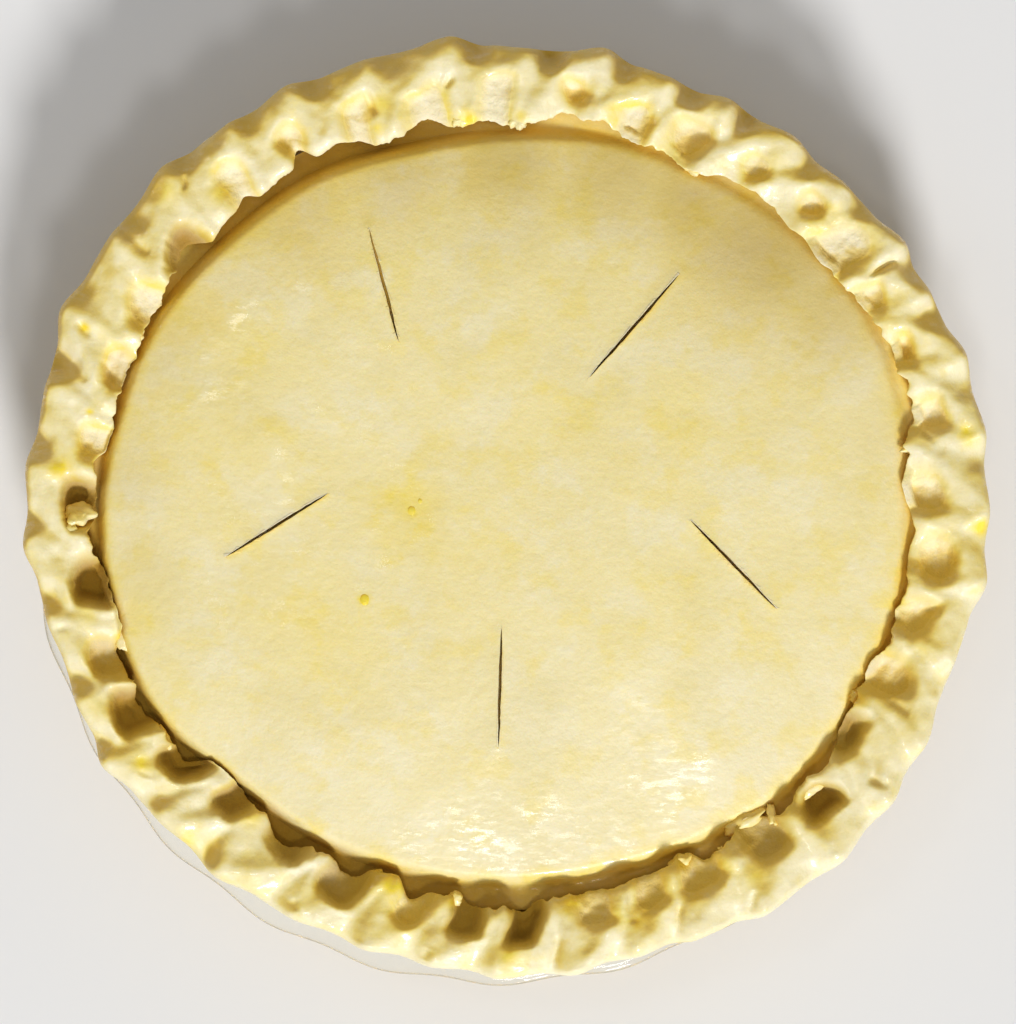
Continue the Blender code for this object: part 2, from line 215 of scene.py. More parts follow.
doughLook = {
    # painted light and shade: egg-washed dough, then bare dough, from turned away from the window (painted
    # shade) to turned towards it (painted light)
    "washed": ((0.10, (0.80, 0.52, 0.075)), (0.30, (0.90, 0.69, 0.17)), (0.50, (0.87, 0.745, 0.35)),
               (0.72, (0.81, 0.725, 0.45)), (0.92, (0.80, 0.725, 0.47))),
    "bare": ((0.06, (0.72, 0.47, 0.07)), (0.36, (0.84, 0.65, 0.23)), (0.60, (0.82, 0.71, 0.42)),
             (0.92, (0.80, 0.72, 0.50))),
    "yolk": (0.86, 0.66, 0.04, 1), "shadedYolk": (0.82, 0.50, 0.03, 1),          # where the egg pools
    "floury": (0.86, 0.785, 0.62, 1),
    # the brown of painted shade in folds, gutters and vents
    "paintedShadeColour": (0.36, 0.20, 0.014, 1),
    "pale": (0.87, 0.81, 0.60, 1), "olive": (0.72, 0.60, 0.24, 1),
    # scale, detail and roughness of each noise, and the stretch and turn of the brushed ones
    "noises": {
        "broad": (26, 3, 0.55), "patchy": (95, 4, 0.6), "fine": (420, 3, 0.6), "specks": (1500, 2, 0.5),
        "mottled": (58, 4, 0.62), "shaded": (33, 5, 0.6), "brushed": (65, 3, 0.55), "wisps": (210, 6, 0.72),
    },
    "brushStretch": 4.2, "brushTurn": 0.45, "wispStretch": 2.8, "wispTurn": 0.15,
    "broadTurn": 0.22, "patchyTurn": 0.16, "fineTurn": 0.10,      # how far each noise shifts the ramp
    # shares of the noises in each layer of colour, and where each sets in and is full
    "coverPatchy": 0.7, "coverFine": 0.35, "coverRise": (0.32, 0.60), "dust": 0.6, "dustRise": (0.45, 0.75),
    "grainFine": 0.55, "paleMottled": 0.34, "mottledRise": (0.48, 0.62), "paleGrain": 0.22,
    "paleGrainRise": (0.52, 0.70), "paleLeast": 0.3, "paleTurned": (0.12, 0.5),
    "oliveShaded": 0.26, "shadedRise": (0.49, 0.64), "oliveGrain": 0.24, "oliveGrainRise": (0.50, 0.32),
    "poolLeast": 0.4, "poolPatchy": 1.6, "poolAll": 0.30, "poolRise": (0.48, 0.68), "yolkTurned": (0.15, 0.5),
    "deepLeast": 0.72, "deepPatchy": 0.4,
    "washRoughness": 0.42, "dryRoughness": 0.75, "fineRoughness": 0.16, "brushedRoughness": 0.14,
    "deepRoughness": 0.5,
    "patchyRelief": 0.40, "fineRelief": 0.85, "fineCovered": 0.42, "brushedRelief": 0.12,
    "specksRelief": 0.24, "specksUncovered": 1.3, "bumpStrength": 0.5, "bumpHeight": 0.0009,
    # the wet gloss of the egg wash
    "wetness": 0.85, "wetLeast": 0.3, "wispRise": (0.49, 0.59), "wetPatchy": (0.38, 0.58),
    "wetPool": 0.9, "wetPoolRise": (0.80, 1.0), "coatRoughness": 0.16, "ior": 1.4,
    "glow": 0.12, "glowReach": (1.6, 1.1, 0.5), "glowScale": 0.0012,
}


def makeGlass():
    paint, graph = newMaterial("clearGlass")
    glass = graph.node("ShaderNodeBsdfPrincipled", {
        "Base Color": glassLook["colour"], "Roughness": glassLook["roughness"], "IOR": glassLook["ior"],
        "Transmission Weight": 1.0,
    })
    passed = graph.node("ShaderNodeBsdfTransparent", {"Color": glassLook["shade"]})
    shadowRay = graph.node("ShaderNodeLightPath", out="Is Shadow Ray")
    diffuseRay = graph.node("ShaderNodeLightPath", out="Is Diffuse Ray")
    share = shadowRay.maths("MAXIMUM", diffuseRay).maths("MAXIMUM", glassLook["clear"])
    surface = graph.node("ShaderNodeMixShader", {0: share, 1: glass, 2: passed})
    graph.node("ShaderNodeOutputMaterial", {"Surface": surface})
    return paint


# the dough reads point attributes: painted light and shade from the key lamp, wash (egg brushed on), painted
# shade down in folds and hollows, and pool (egg gathered in a crease)
def makeDough():
    look = doughLook
    paint, graph = newMaterial("eggWashedDough")
    place = graph.node("ShaderNodeTexCoord", out="Object")
    paintedLight, wash, deep, pool = (graph.attribute(name) for name in ("paintedLight", "wash", "deep", "pool"))
    streaks, strokes = (
        graph.node("ShaderNodeMapping", {"Vector": place, "Scale": (1, look[name + "Stretch"], 1),
                                         "Rotation": (0, 0, look[name + "Turn"])})
        for name in ("brush", "wisp"))
    broad, patchy, fine, specks, mottled, shaded = (
        graph.blotches(place, *look["noises"][name])
        for name in ("broad", "patchy", "fine", "specks", "mottled", "shaded"))
    brushed = graph.blotches(streaks, *look["noises"]["brushed"])
    wisps = graph.blotches(strokes, *look["noises"]["wisps"])

    # turned: the painted light share with noise; the ramps below paint the dough darker and yellower in
    # shade, paler in light
    turned = (paintedLight + (broad - 0.5) * look["broadTurn"] + (patchy - 0.5) * look["patchyTurn"]
              + (fine - 0.5) * look["fineTurn"])
    washed = graph.ramp(turned, look["washed"])
    # flour dust, real, but shown more where the painted light is strong
    dusted = (fine.rise(*look["dustRise"]) * turned * look["dust"]).clamped()
    bare = graph.mix(dusted, graph.ramp(turned, look["bare"]), look["floury"])
    cover = wash + (patchy - 0.5) * look["coverPatchy"] + (fine - 0.5) * look["coverFine"]
    cover = cover.rise(*look["coverRise"])
    colour = graph.mix(cover, bare, washed)
    grain = fine * look["grainFine"] + specks * (1 - look["grainFine"])
    film = mottled.rise(*look["mottledRise"]) * look["paleMottled"]
    film = film + grain.rise(*look["paleGrainRise"]) * look["paleGrain"]
    # the pale mottles are real, but weakened in painted shade
    film = film * (look["paleLeast"] + (1 - look["paleLeast"]) * turned.rise(*look["paleTurned"]))
    colour = graph.mix(film, colour, look["pale"])
    dull = shaded.rise(*look["shadedRise"]) * look["oliveShaded"]
    dull = dull + grain.rise(*look["oliveGrainRise"]) * look["oliveGrain"]
    colour = graph.mix(dull * cover, colour, look["olive"])
    pooled = pool * (look["poolLeast"] + patchy * look["poolPatchy"])
    pooled = (pooled + patchy.rise(*look["poolRise"]) * look["poolAll"] * cover).clamped()
    # the yolk goes from a darker, warmer copy in painted shade to the lit colour in painted light
    yolk = graph.mix(turned.rise(*look["yolkTurned"]), look["shadedYolk"], look["yolk"])
    colour = graph.mix(pooled, colour, yolk)
    # painted shade: towards a dark brown where the dough lies down in a fold, gutter or vent
    sunk = (deep * (look["deepLeast"] + patchy * look["deepPatchy"])).clamped()
    colour = graph.mix(sunk, colour, look["paintedShadeColour"])

    roughness = look["dryRoughness"] + cover * (look["washRoughness"] - look["dryRoughness"])
    roughness = roughness + (fine - 0.5) * look["fineRoughness"] + (brushed - 0.5) * look["brushedRoughness"]
    roughness = roughness + deep * look["deepRoughness"]

    relief = patchy * look["patchyRelief"] + fine * (look["fineRelief"] - look["fineCovered"] * cover)
    relief = relief + brushed * look["brushedRelief"] * cover
    relief = relief + specks * look["specksRelief"] * (look["specksUncovered"] - cover)
    wet = look["wetLeast"] + (1 - look["wetLeast"]) * patchy.rise(*look["wetPatchy"])
    wet = wisps.rise(*look["wispRise"]) * wet * cover * (1 - deep) * look["wetness"]
    wet = wet.maths("MAXIMUM", pool.rise(*look["wetPoolRise"]) * look["wetPool"]).clamped()
    bump = graph.node("ShaderNodeBump", {"Height": relief, "Strength": look["bumpStrength"],
                                         "Distance": look["bumpHeight"]})
    shader = graph.node("ShaderNodeBsdfPrincipled", {
        "Base Color": colour, "Roughness": roughness, "Normal": bump, "IOR": look["ior"],
        "Subsurface Weight": look["glow"], "Subsurface Scale": look["glowScale"],
        "Subsurface Radius": look["glowReach"], "Coat Weight": wet, "Coat Roughness": look["coatRoughness"],
    })
    graph.node("ShaderNodeOutputMaterial", {"Surface": shader})
    return paint


glassPaint = makeGlass()
doughPaint = makeDough()
print("glass and dough mixed")


# Shared mesh tools

def finish(made, body, node):
    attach(made, body)
    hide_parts(node)


def ease(value):
    t = np.clip(value, 0, 1)
    return t * t * (3 - 2 * t)


def lumps(points, size, shift=0, octaves=1):
    return np.array([noise.fractal(Vector(p) / size + Vector((shift, shift, 0)), 1.0, 2.0, octaves)
                     for p in points.tolist()])


# joins two closed rings of vertex numbers by triangles, whatever their counts
def zipRings(first, second):
    i = j = 0
    faces = []
    while i < len(first) or j < len(second):
        a, b = first[i % len(first)], second[j % len(second)]
        if j == len(second) or (i < len(first) and (i + 1) * len(second) <= (j + 1) * len(first)):
            i += 1
            faces.append((a, first[i % len(first)], b))
        else:
            j += 1
            faces.append((a, second[j % len(second)], b))
    return faces


# rings of points (in millimetres) closed at both ends, as one mesh object
def ringsToObject(name, rings, firstMiddle, lastMiddle, attributes, paint):
    points, faces, numbers = [], [], []
    for ring in rings:
        numbers.append(range(len(points), len(points) + len(ring)))
        points.extend(ring.tolist())
    for first, second in zip(numbers, numbers[1:]):
        if len(first) == len(second):
            for k in range(len(first)):
                after = (k + 1) % len(first)
                faces.append((first[k], first[after], second[after], second[k]))
        else:
            faces.extend(zipRings(first, second))
    for ring, middle in ((numbers[0], firstMiddle), (numbers[-1], lastMiddle)):
        points.append(middle)
        faces.extend((ring[k], ring[(k + 1) % len(ring)], len(points) - 1) for k in range(len(ring)))
    mesh = bpy.data.meshes.new(name)
    mesh.from_pydata((np.array(points) * mm).tolist(), [], faces)
    for label, values in attributes.items():
        layer = mesh.attributes.new(label, "FLOAT", "POINT")
        ends = (values[0].mean(), values[-1].mean())
        layer.data.foreach_set("value", np.append(np.concatenate(values), ends))
    mesh.materials.append(paint)
    facesOutwards(mesh)
    mesh.shade_smooth()
    made = bpy.data.objects.new(name, mesh)
    bpy.context.scene.collection.objects.link(made)
    return made


def facesOutwards(mesh):
    work = bmesh.new()
    work.from_mesh(mesh)
    bmesh.ops.recalc_face_normals(work, faces=work.faces)
    work.to_mesh(mesh)
    work.free()


# Pie plate, turned from its profile by Geometry Nodes

plateSet = {
    "rounding": 2,       # how often its corners are cut
    "Sides": 288, "Scallops": 24, "Scallop Depth": 0.8 * mm,
    "Flange Radius": 114.4 * mm, "Rim Radius": 130 * mm,
    # radius and height, from the foot's middle round to the floor's middle
    "profile": (
        (0, 0), (87.5, 0), (91, 1.1), (93.6, 4), (112.6, 31), (115.6, 33.6),
        (126, 34.4), (129.2, 35.2), (130, 36.4), (129.2, 37.6), (127.4, 38),
        (114.4, 38), (111.4, 37), (108.6, 34), (92.1, 10.6), (88.6, 6.8), (83, 5.4), (0, 5.4),
    ),
}


def roundedOff(points, times):
    for _ in range(times):
        cut = [points[0]]
        for a, b in zip(points, points[1:]):
            cut.append(tuple(0.75 * p + 0.25 * q for p, q in zip(a, b)))
            cut.append(tuple(0.25 * p + 0.75 * q for p, q in zip(a, b)))
        points = cut + [points[-1]]
    return points


def turningTree():
    tree = bpy.data.node_groups.new("turnedPlate", "GeometryNodeTree")
    face = tree.interface
    for name, kind in (("Profile", "Geometry"), ("Sides", "Int"), ("Scallops", "Int"),
                       ("Scallop Depth", "Float"), ("Flange Radius", "Float"), ("Rim Radius", "Float"),
                       ("Glass", "Material")):
        face.new_socket(name, in_out="INPUT", socket_type="NodeSocket" + kind)
    face.new_socket("Plate", in_out="OUTPUT", socket_type="NodeSocketGeometry")
    graph = Graph(tree)
    given = tree.nodes.new("NodeGroupInput")
    profile, sides, scallops, depth, flange, rim, glass = (Wire(graph, given.outputs[k]) for k in range(7))
    pointCount = graph.node("GeometryNodeAttributeDomainSize", {0: profile}, component="MESH")
    grid = graph.node("GeometryNodeMeshGrid", {"Size X": 1.0, "Size Y": 1.0, "Vertices X": sides + 1,
                                               "Vertices Y": pointCount})
    place = graph.node("GeometryNodeInputPosition")
    x, y = (graph.node("ShaderNodeSeparateXYZ", {0: place}, out=k) for k in (0, 1))
    row = ((y + 0.5) * (pointCount - 1)).maths("ROUND")
    reader = tree.nodes.new("GeometryNodeSampleIndex")
    reader.data_type, reader.domain = "FLOAT_VECTOR", "POINT"
    graph.feed(reader.inputs["Geometry"], profile)
    graph.feed(reader.inputs["Value"], place)
    graph.feed(reader.inputs["Index"], row)
    sampled = Wire(graph, reader.outputs[0])
    radius, height = (graph.node("ShaderNodeSeparateXYZ", {0: sampled}, out=k) for k in (0, 2))
    turn = (x + 0.5) * math.tau
    share = ((radius - flange) / (rim - flange)).maths("MAXIMUM", 0)
    wavy = radius + share * depth * (turn * scallops).maths("COSINE")
    point = graph.node("ShaderNodeCombineXYZ", {0: wavy * turn.maths("COSINE"), 1: wavy * turn.maths("SINE"),
                                                2: height})
    moved = graph.node("GeometryNodeSetPosition", {"Geometry": grid, "Position": point})
    merged = graph.node("GeometryNodeMergeByDistance", {"Geometry": moved, "Distance": 0.000001})
    smooth = graph.node("GeometryNodeSetShadeSmooth", {"Geometry": merged})
    real = graph.node("GeometryNodeRealizeInstances", {"Geometry": smooth})
    painted = graph.node("GeometryNodeSetMaterial", {"Geometry": real, "Material": glass})
    graph.feed(tree.nodes.new("NodeGroupOutput").inputs[0], painted)
    return tree


# runs a tree on an object and leaves the result as its plain mesh
def bakeTree(made, tree, values):
    nodes = made.modifiers.new(tree.name, "NODES")
    nodes.node_group = tree
    for item in tree.interface.items_tree:
        if item.item_type == "SOCKET" and item.in_out == "INPUT" and item.name in values:
            nodes[item.identifier] = values[item.name]
    bpy.context.view_layer.update()
    result = bpy.data.meshes.new_from_object(made.evaluated_get(bpy.context.evaluated_depsgraph_get()))
    made.modifiers.remove(nodes)
    made.data = result
    facesOutwards(result)


def makePlate():
    outline = roundedOff(plateSet["profile"], plateSet["rounding"])
    line = bpy.data.meshes.new("plateProfile")
    spots = [(r * mm, 0, z * mm) for r, z in outline]
    line.from_pydata(spots, [(k, k + 1) for k in range(len(outline) - 1)], [])
    plate = bpy.data.objects.new("glassPiePlate", line)
    bpy.context.scene.collection.objects.link(plate)
    bakeTree(plate, turningTree(), {**plateSet, "Glass": glassPaint})
    finish(plate, "root", "dish")
    print("glass plate turned:", len(plate.data.polygons), "faces")


makePlate()


# The pinched rim and the lid. Lengths are in millimetres, bearings in degrees, heights over the glass rim.

rimSet = {
    "centre": (1.9, 1.4), "base": 38.3, "unroll": 121,
    # each pinch: bearing and reach of its outer lobe, both sides and the reach of its nose over the lid,
    # the inner edge after the nose, and the depth of the scoop outside, before the lobe
    "pinches": (
        (0, 133.7, -3.5, -0.5, 112, 109.3, 1.5), (9.5, 134.5, 7.5, 10.3, 111, 115.6, 5),
        (19, 134.5, 17, 20.3, 115, 115, 2), (27.5, 132.2, 25.5, 28, 114, 113.4, 3),
        (34, 133.3, 32.5, 36, 111.5, 110.4, 6), (44, 130.6, 42, 46, 110.6, 111.5, 3),
        (52.5, 131, 51, 54, 111, 110.6, 3), (61.5, 130, 59.5, 64, 106.5, 108.4, 7),
        (69.5, 128.6, 67.5, 70.5, 107.9, 108.4, 7), (78, 131.4, 75.5, 79, 110.5, 111.2, 7),
        (87.5, 128.6, 85.5, 90, 106.5, 107.5, 8), (97, 132.8, 93, 98.7, 107.3, 111.2, 7.5),
        (107.5, 131.4, 105, 110, 107.3, 110.6, 4), (117.5, 133, 114, 118.7, 111.2, 115.6, 6),
        (126, 132.5, 121.5, 128.3, 110.6, 113.4, 5), (135, 135.3, 131.5, 138, 110.9, 116, 7),
        (145.5, 133.9, 143.5, 147, 112.6, 112, 4), (155.5, 135.8, 152.5, 157.5, 111.2, 112, 3),
        (164.5, 132.5, 162.5, 169, 111.2, 112, 7), (174.5, 133.9, 172.5, 177, 114, 114, 6),
        (184, 134.3, 182.3, 186, 115, 112, 5), (193, 131, 191.8, 197, 110.6, 114.8, 3),
        (204, 130.5, 203, 205.3, 113.4, 115.6, 5), (212, 132.4, 210.5, 215.5, 112.3, 113, 6),
        (221.5, 129, 219.5, 224, 105.7, 106.2, 2), (231, 129.4, 228.3, 232, 106.8, 111.2, 3.5),
        (242, 127.5, 239.5, 243.5, 106.5, 110, 2), (252, 127.5, 249.3, 254, 104.8, 110.6, 2),
        (260.5, 127.8, 258, 263.3, 106.8, 110, 2.5), (269, 129.4, 266.5, 270.5, 109, 110.6, 2),
        (278.5, 129.6, 273.8, 280, 107.3, 107.3, 3), (286.5, 128.6, 285, 289.5, 107.3, 107.9, 2),
        (294, 129.7, 293.5, 298.5, 106.5, 110.6, 2.5), (303, 132.8, 301, 304, 110, 107.3, 2.5),
        (314, 134.3, 311.5, 315, 112, 110.6, 2), (323, 133.9, 320.5, 325, 111.7, 109.3, 2),
        (331, 132.8, 330.5, 334, 108.7, 108.7, 2), (342, 130.8, 340.5, 343.5, 111.2, 111.2, 2.5),
        (351.5, 134.3, 349, 352, 111.7, 111.5, 2.5),
    ),
    # the dent after each nose: bearing, radius, half width and length, lean, depth, how open it is inwards
    "dents": (
        (3.2, 117.6, 7.6, 6.6, 0, 4.2, 1), (13, 120.9, 6.3, 5.5, 10, 4.3, 0.3),
        (22.3, 119.2, 5.1, 4.4, 25, 4.5, 0), (30.2, 118.9, 4.2, 3.9, 25, 3.2, 0.6),
        (39, 119.5, 8.9, 9.4, 0, 3, 1), (45.6, 120, 4.2, 4.7, 30, 3.8, 0),
        (54, 118.1, 4, 4.7, 25, 3.1, 0.2), (64, 116.4, 6.3, 6.1, 20, 5.1, 0.4),
        (72.5, 115.6, 6.8, 5, 0, 3.2, 1), (81, 117.6, 5.3, 5, 25, 4.8, 0.1),
        (91, 118.4, 5.9, 6.6, 15, 2.6, 1), (101.5, 116.2, 6.8, 6.1, 0, 3, 1),
        (110.8, 118.9, 5.1, 6.1, 10, 4, 1), (120.3, 119.8, 4.6, 4.7, 0, 3.7, 0.2),
        (129.8, 119.5, 5.1, 6.6, 10, 3.5, 1), (141.5, 116.2, 7.6, 5, -20, 7.5, 1),
        (149.8, 117.6, 7.2, 6.1, 0, 4.5, 1), (159.8, 115.6, 7.2, 5, 20, 5.3, 1),
        (170, 116.7, 5.9, 5, 10, 3.9, 1), (178.8, 119.5, 7.2, 4.7, 0, 8.5, 0.6),
        (189, 117.3, 7.2, 6.6, 20, 10.5, 1), (200, 119.2, 7.2, 5.8, 15, 6, 0.7),
        (207.8, 119.8, 7.2, 4.4, 15, 8.4, 0.8), (217, 114.8, 5.7, 5.5, 15, 9.2, 1),
        (226, 112.1, 6.3, 4.93, 25, 7.2, 0.8), (236, 111.5, 7.6, 4.505, 15, 7.6, 1),
        (246, 114.3, 7.2, 5.44, 20, 6.5, 1), (256, 114.3, 6.8, 5.44, 20, 4.7, 1),
        (264.2, 114.5, 5.9, 5.44, 10, 7, 1), (271.8, 116.5, 4.6, 5.865, 30, 9.5, 0.9),
        (282.7, 113.7, 7, 5.865, 10, 4.1, 1), (290.8, 113.7, 6.3, 5.865, 10, 4.1, 1),
        (298.5, 114.8, 7.8, 6.545, 10, 4.9, 1), (308.5, 116.8, 8.2, 6.8, 10, 6, 0.9),
        (317.2, 119.2, 6.8, 5.185, 30, 9.5, 0.1), (327, 113.7, 8, 4.675, 10, 7, 1),
        (337, 116.5, 7.6, 7.055, 10, 5.2, 0.6), (345.7, 118.1, 6.8, 5.61, 25, 4.1, 0.2),
        (354, 120.9, 6.8, 7.2, 25, 5, 0.3),
    ),
    # folds pressed together: bearing and radius of both ends, depth, half width
    "creases": (
        (32.9, 119.5, 32.6, 127.8, 4, 0.7), (98.4, 118.4, 97.5, 121.7, 2.5, 0.6),
        (108.3, 115.6, 108.6, 123.1, 3.5, 0.6), (134.8, 125, 133.5, 129.4, 3, 0.8),
        (143.9, 121.7, 144.2, 130, 2, 1), (157.5, 125, 156.3, 128.9, 2, 0.6),
        (163, 121.7, 160.5, 127.8, 3, 0.9), (163, 114.8, 160, 118.4, 3, 0.7),
        (194.3, 125, 194.6, 130, 1.2, 0.7), (241.2, 122.3, 242.2, 125, 2, 1),
        (260.3, 122.3, 259.5, 126.1, 2, 0.9), (276.5, 117.6, 276, 126.7, 2.5, 0.9),
        (287.6, 110.1, 287.2, 118.9, 2.5, 0.9), (293.8, 119.5, 292, 125.9, 2.2, 0.7),
        (302.8, 124.5, 301.5, 128.9, 1.8, 0.7), (324, 122.3, 324.4, 130, 2, 1),
        (333.5, 117.6, 333.2, 124.5, 2, 1), (216.8, 121.2, 215, 124.5, 1.5, 1),
        (229.5, 118.9, 228.6, 127.8, 3, 1.8), (9.9, 125.9, 10, 131.4, 1.5, 1.5),
        (10.6, 117.6, 9.2, 119.8, 1.5, 0.5),
    ),
    "crest": 10.2, "crestSpread": 0.5, "crestRadius": 124,
    "noseDroop": 1.6, "droopOver": 16, "lobeDroop": 0.5, "farDroop": 2.6, "droopOut": 9, "noseCorner": 0.8,
    # the ropes of dough between nose and lobe
    "ridgeRise": 2.0, "ridgeLow": 0.45, "ridgeWidth": 3.2, "diagonalRise": 1.9, "diagonalWidth": 3.8,
    "diagonalBow": 1.6, "noseInset": 3, "lobeInset": 3, "crossing": 0.3,
    # the dents' outline, walls and floor, and from which depth they are steep all round and get painted shade
    "squareness": 2.2, "steepWall": 0.7, "gentleWall": 1.3, "wallStart": 0.3, "closing": 0.85,
    "archFall": 0.5, "floorLift": 1.2, "floorTilt": 0.14, "bowl": 0.5,
    "deepDent": 5, "steepOver": 3.5, "darkOver": 2.2,
    "scoopBack": 6.33, "scoopOut": 1.5, "scoopWide": 5.2, "scoopLong": 8.5, "scoopReach": 1.25,
    # scoopDark and scoopTurned: painted shade in the scoops on the side of the pie turned from the lamp
    "scoopDeepest": 8, "scoopDark": 0.5, "scoopTurned": 1.6, "scoopDry": 0.6,
    "topIndent": 1.4, "baseIndent": 1.2,
    "warps": ((14, 1.8), (6, 0.9), (2.4, 0.2)),      # size and shift of the unsteady hand
    "lumpSize": 6.5, "lumpHeight": 0.40, "ragSize": 2.6, "rag": 0.8, "ragLeast": 0.35, "ragPatch": 19,
    "flakySize": 1.9, "flakyHeight": 0.22, "flakyLeast": 0.25,
    "creaseDepth": 0.55, "creaseSpread": 1.3, "creaseEnd": 0.05,
    # the rounded lip over the lid, and the outer edge
    "innerCap": 3.0, "sampledFrom": 0.6, "lipShare": 0.76, "undercut": 2.6, "tuck": 50, "noseLift": 1.0,
    "lipRise": 2.0, "closeIn": 0.6, "closeDown": 1.0, "outerCap": 2.0, "outerEase": 1.3,
    # deepFrom and deepOver: below which height the rim gets painted shade, and how it fades out towards the
    # outer edge
    "deepFrom": 4.5, "deepOver": 4,
    "bulbWide": 4.2, "bulbLong": 3.6, "bulbIn": 3.4, "bulbRise": 0.4, "softAround": 2, "softAcross": 4,
    "wash": 1.0, "floorDry": 0.95, "dryRise": 1.3, "wallPool": 1.2,
    "columns": 1200, "innerRows": 11, "topRows": 42, "outerRows": 14, "seed": 11, "warpSeed": 1795526233,
    # egg that gathered on the rim: bearing, radius, reach and strength
    "yolks": (
        (198.5, 111.5, 3, 1), (193.5, 118.9, 3, 0.4), (214.5, 122.3, 2.5, 0.9), (230, 109.3, 4, 0.6),
        (226, 127.8, 4, 0.5), (253, 107, 3, 0.9), (256, 117.6, 5, 0.4), (262, 108.7, 2, 0.8),
        (279.5, 108.7, 4, 0.8), (288.5, 118.4, 4, 0.6), (296.5, 108.7, 2.5, 0.9), (304.5, 121.7, 3, 0.7),
        (315.5, 120.9, 3, 0.6), (332, 110.1, 2.5, 0.8), (343, 120.3, 4, 0.4), (358, 131.4, 2.5, 1),
        (9.8, 128.6, 3, 0.5), (88, 109.3, 2, 0.6), (95.5, 109.3, 3, 0.7), (107, 117.6, 3, 0.8),
        (108.5, 112, 2, 0.5), (132, 118.4, 3, 0.7), (136.8, 130, 4, 0.7), (125, 129.4, 3, 0.4),
        (156.5, 127.2, 1.5, 0.9), (166.5, 118.4, 1, 0.9), (174.5, 124.5, 3, 0.8), (191.8, 127.8, 3.5, 0.5),
        (205.5, 124.5, 4, 0.4), (229, 123.9, 3, 0.6), (64, 121.7, 3, 0.3), (270, 121.7, 3, 0.4),
        (26, 117.6, 3, 0.3), (43, 117.6, 3.5, 0.4), (52.5, 121.7, 3, 0.3),
    ),
}

lidSet = {
    "height": 13.0, "fallWidth": 4.8, "fallPower": 1.5, "tuck": 6.0, "step": 15,
    # at each step of bearing: radius of the gutter, height of the shoulder and of the gutter, how flat the
    # dome is, and how much painted shade it gets under the rim
    "edge": (
        (112, 7.5, 6, 3.4, 0.12), (114, 7.6, 6.2, 3, 0.1), (115, 7.4, 6, 2.5, 0.1),
        (112.5, 7.2, 6.2, 2.3, 0.05), (109.5, 7, 5.9, 2.4, 0.05), (108.5, 6.9, 5.2, 2.8, 0.15),
        (106.5, 7.1, 3, 3.4, 0.65), (106.3, 7.6, 1.3, 4, 0.95), (109, 7.8, 1, 4.4, 0.9),
        (110, 7.8, 1.6, 4.6, 0.8), (112.5, 8, 3, 4.6, 0.55), (113, 8.6, 3.4, 4.6, 0.6),
        (114.5, 9, 2.2, 4.6, 0.75), (114.5, 9, 0.9, 4.6, 1.05), (113.5, 8.8, 0.8, 4.4, 1.2),
        (107.5, 8.1, 0.8, 4, 1.25), (106.3, 7.4, 0.8, 3.4, 1.2), (105, 6.1, 0.8, 3, 1.2),
        (104.6, 5, 0.8, 2.6, 1.1), (105, 4.2, 0.8, 2.5, 1), (107.5, 4, 0.8, 2.6, 0.9),
        (111, 4.8, 1.9, 2.9, 0.25), (111, 5.8, 3.2, 3.1, 0.1), (112.5, 6.6, 4.6, 3.3, 0.08),
    ),
}


# a smooth curve through values that repeat round the pie
def roundTable(values, place):
    values = np.array(values, float)
    base = np.floor(place).astype(int)
    t = place - base
    a, b, c, d = (values[(base + step) % len(values)] for step in (-1, 0, 1, 2))
    return b + t / 2 * (c - a + t * (2 * a - 5 * b + 4 * c - d + t * (3 * (b - c) + d - a)))


# values at knots round the pie, joined by soft steps
def roundKnots(bearings, values, bearing):
    order = np.argsort(bearings)
    knots, heights = np.array(bearings)[order], np.array(values)[order]
    knots = np.concatenate((knots[-1:] - 360, knots, knots[:1] + 360))
    heights = np.concatenate((heights[-1:], heights, heights[:1]))
    bearing = (bearing - knots[0]) % 360 + knots[0]
    k = np.clip(np.searchsorted(knots, bearing, side="right") - 1, 0, len(knots) - 2)
    return heights[k] + (heights[k + 1] - heights[k]) * ease((bearing - knots[k]) / (knots[k + 1] - knots[k]))


# distance to a line, how far along it, and on which side of it
def segmentDistance(x, y, startX, startY, endX, endY):
    legX, legY = endX - startX, endY - startY
    t = np.clip(((x - startX) * legX + (y - startY) * legY) / (legX**2 + legY**2), 0, 1)
    side = np.sign(legX * (y - startY) - legY * (x - startX))
    return np.hypot(x - startX - legX * t, y - startY - legY * t), t, side


def onRing(bearing, radius, height):
    turn = np.radians(bearing)
    height = np.broadcast_to(height, turn.shape)
    return np.stack([radius * np.cos(turn) + rimSet["centre"][0], radius * np.sin(turn) + rimSet["centre"][1],
                     rimSet["base"] + height], -1)


def lidEdge(bearing, column):
    return roundTable([row[column] for row in lidSet["edge"]], bearing / lidSet["step"])


def lidHeight(bearing, radius):
    gutterAt, shoulder, gutter, power = (lidEdge(bearing, column) for column in range(4))
    share = np.minimum(radius / gutterAt, 1)
    dome = lidSet["height"] - (lidSet["height"] - shoulder) * share ** power
    fallen = ease(1 - (1 - share) * gutterAt / lidSet["fallWidth"])
    return dome + (gutter - shoulder) * fallen ** lidSet["fallPower"]


# bearing and radius of a point of the lid
def lidPolar(x, y):
    x, y = x - rimSet["centre"][0], y - rimSet["centre"][1]
    return np.array([math.degrees(math.atan2(y, x)) % 360]), np.array([math.hypot(x, y)])


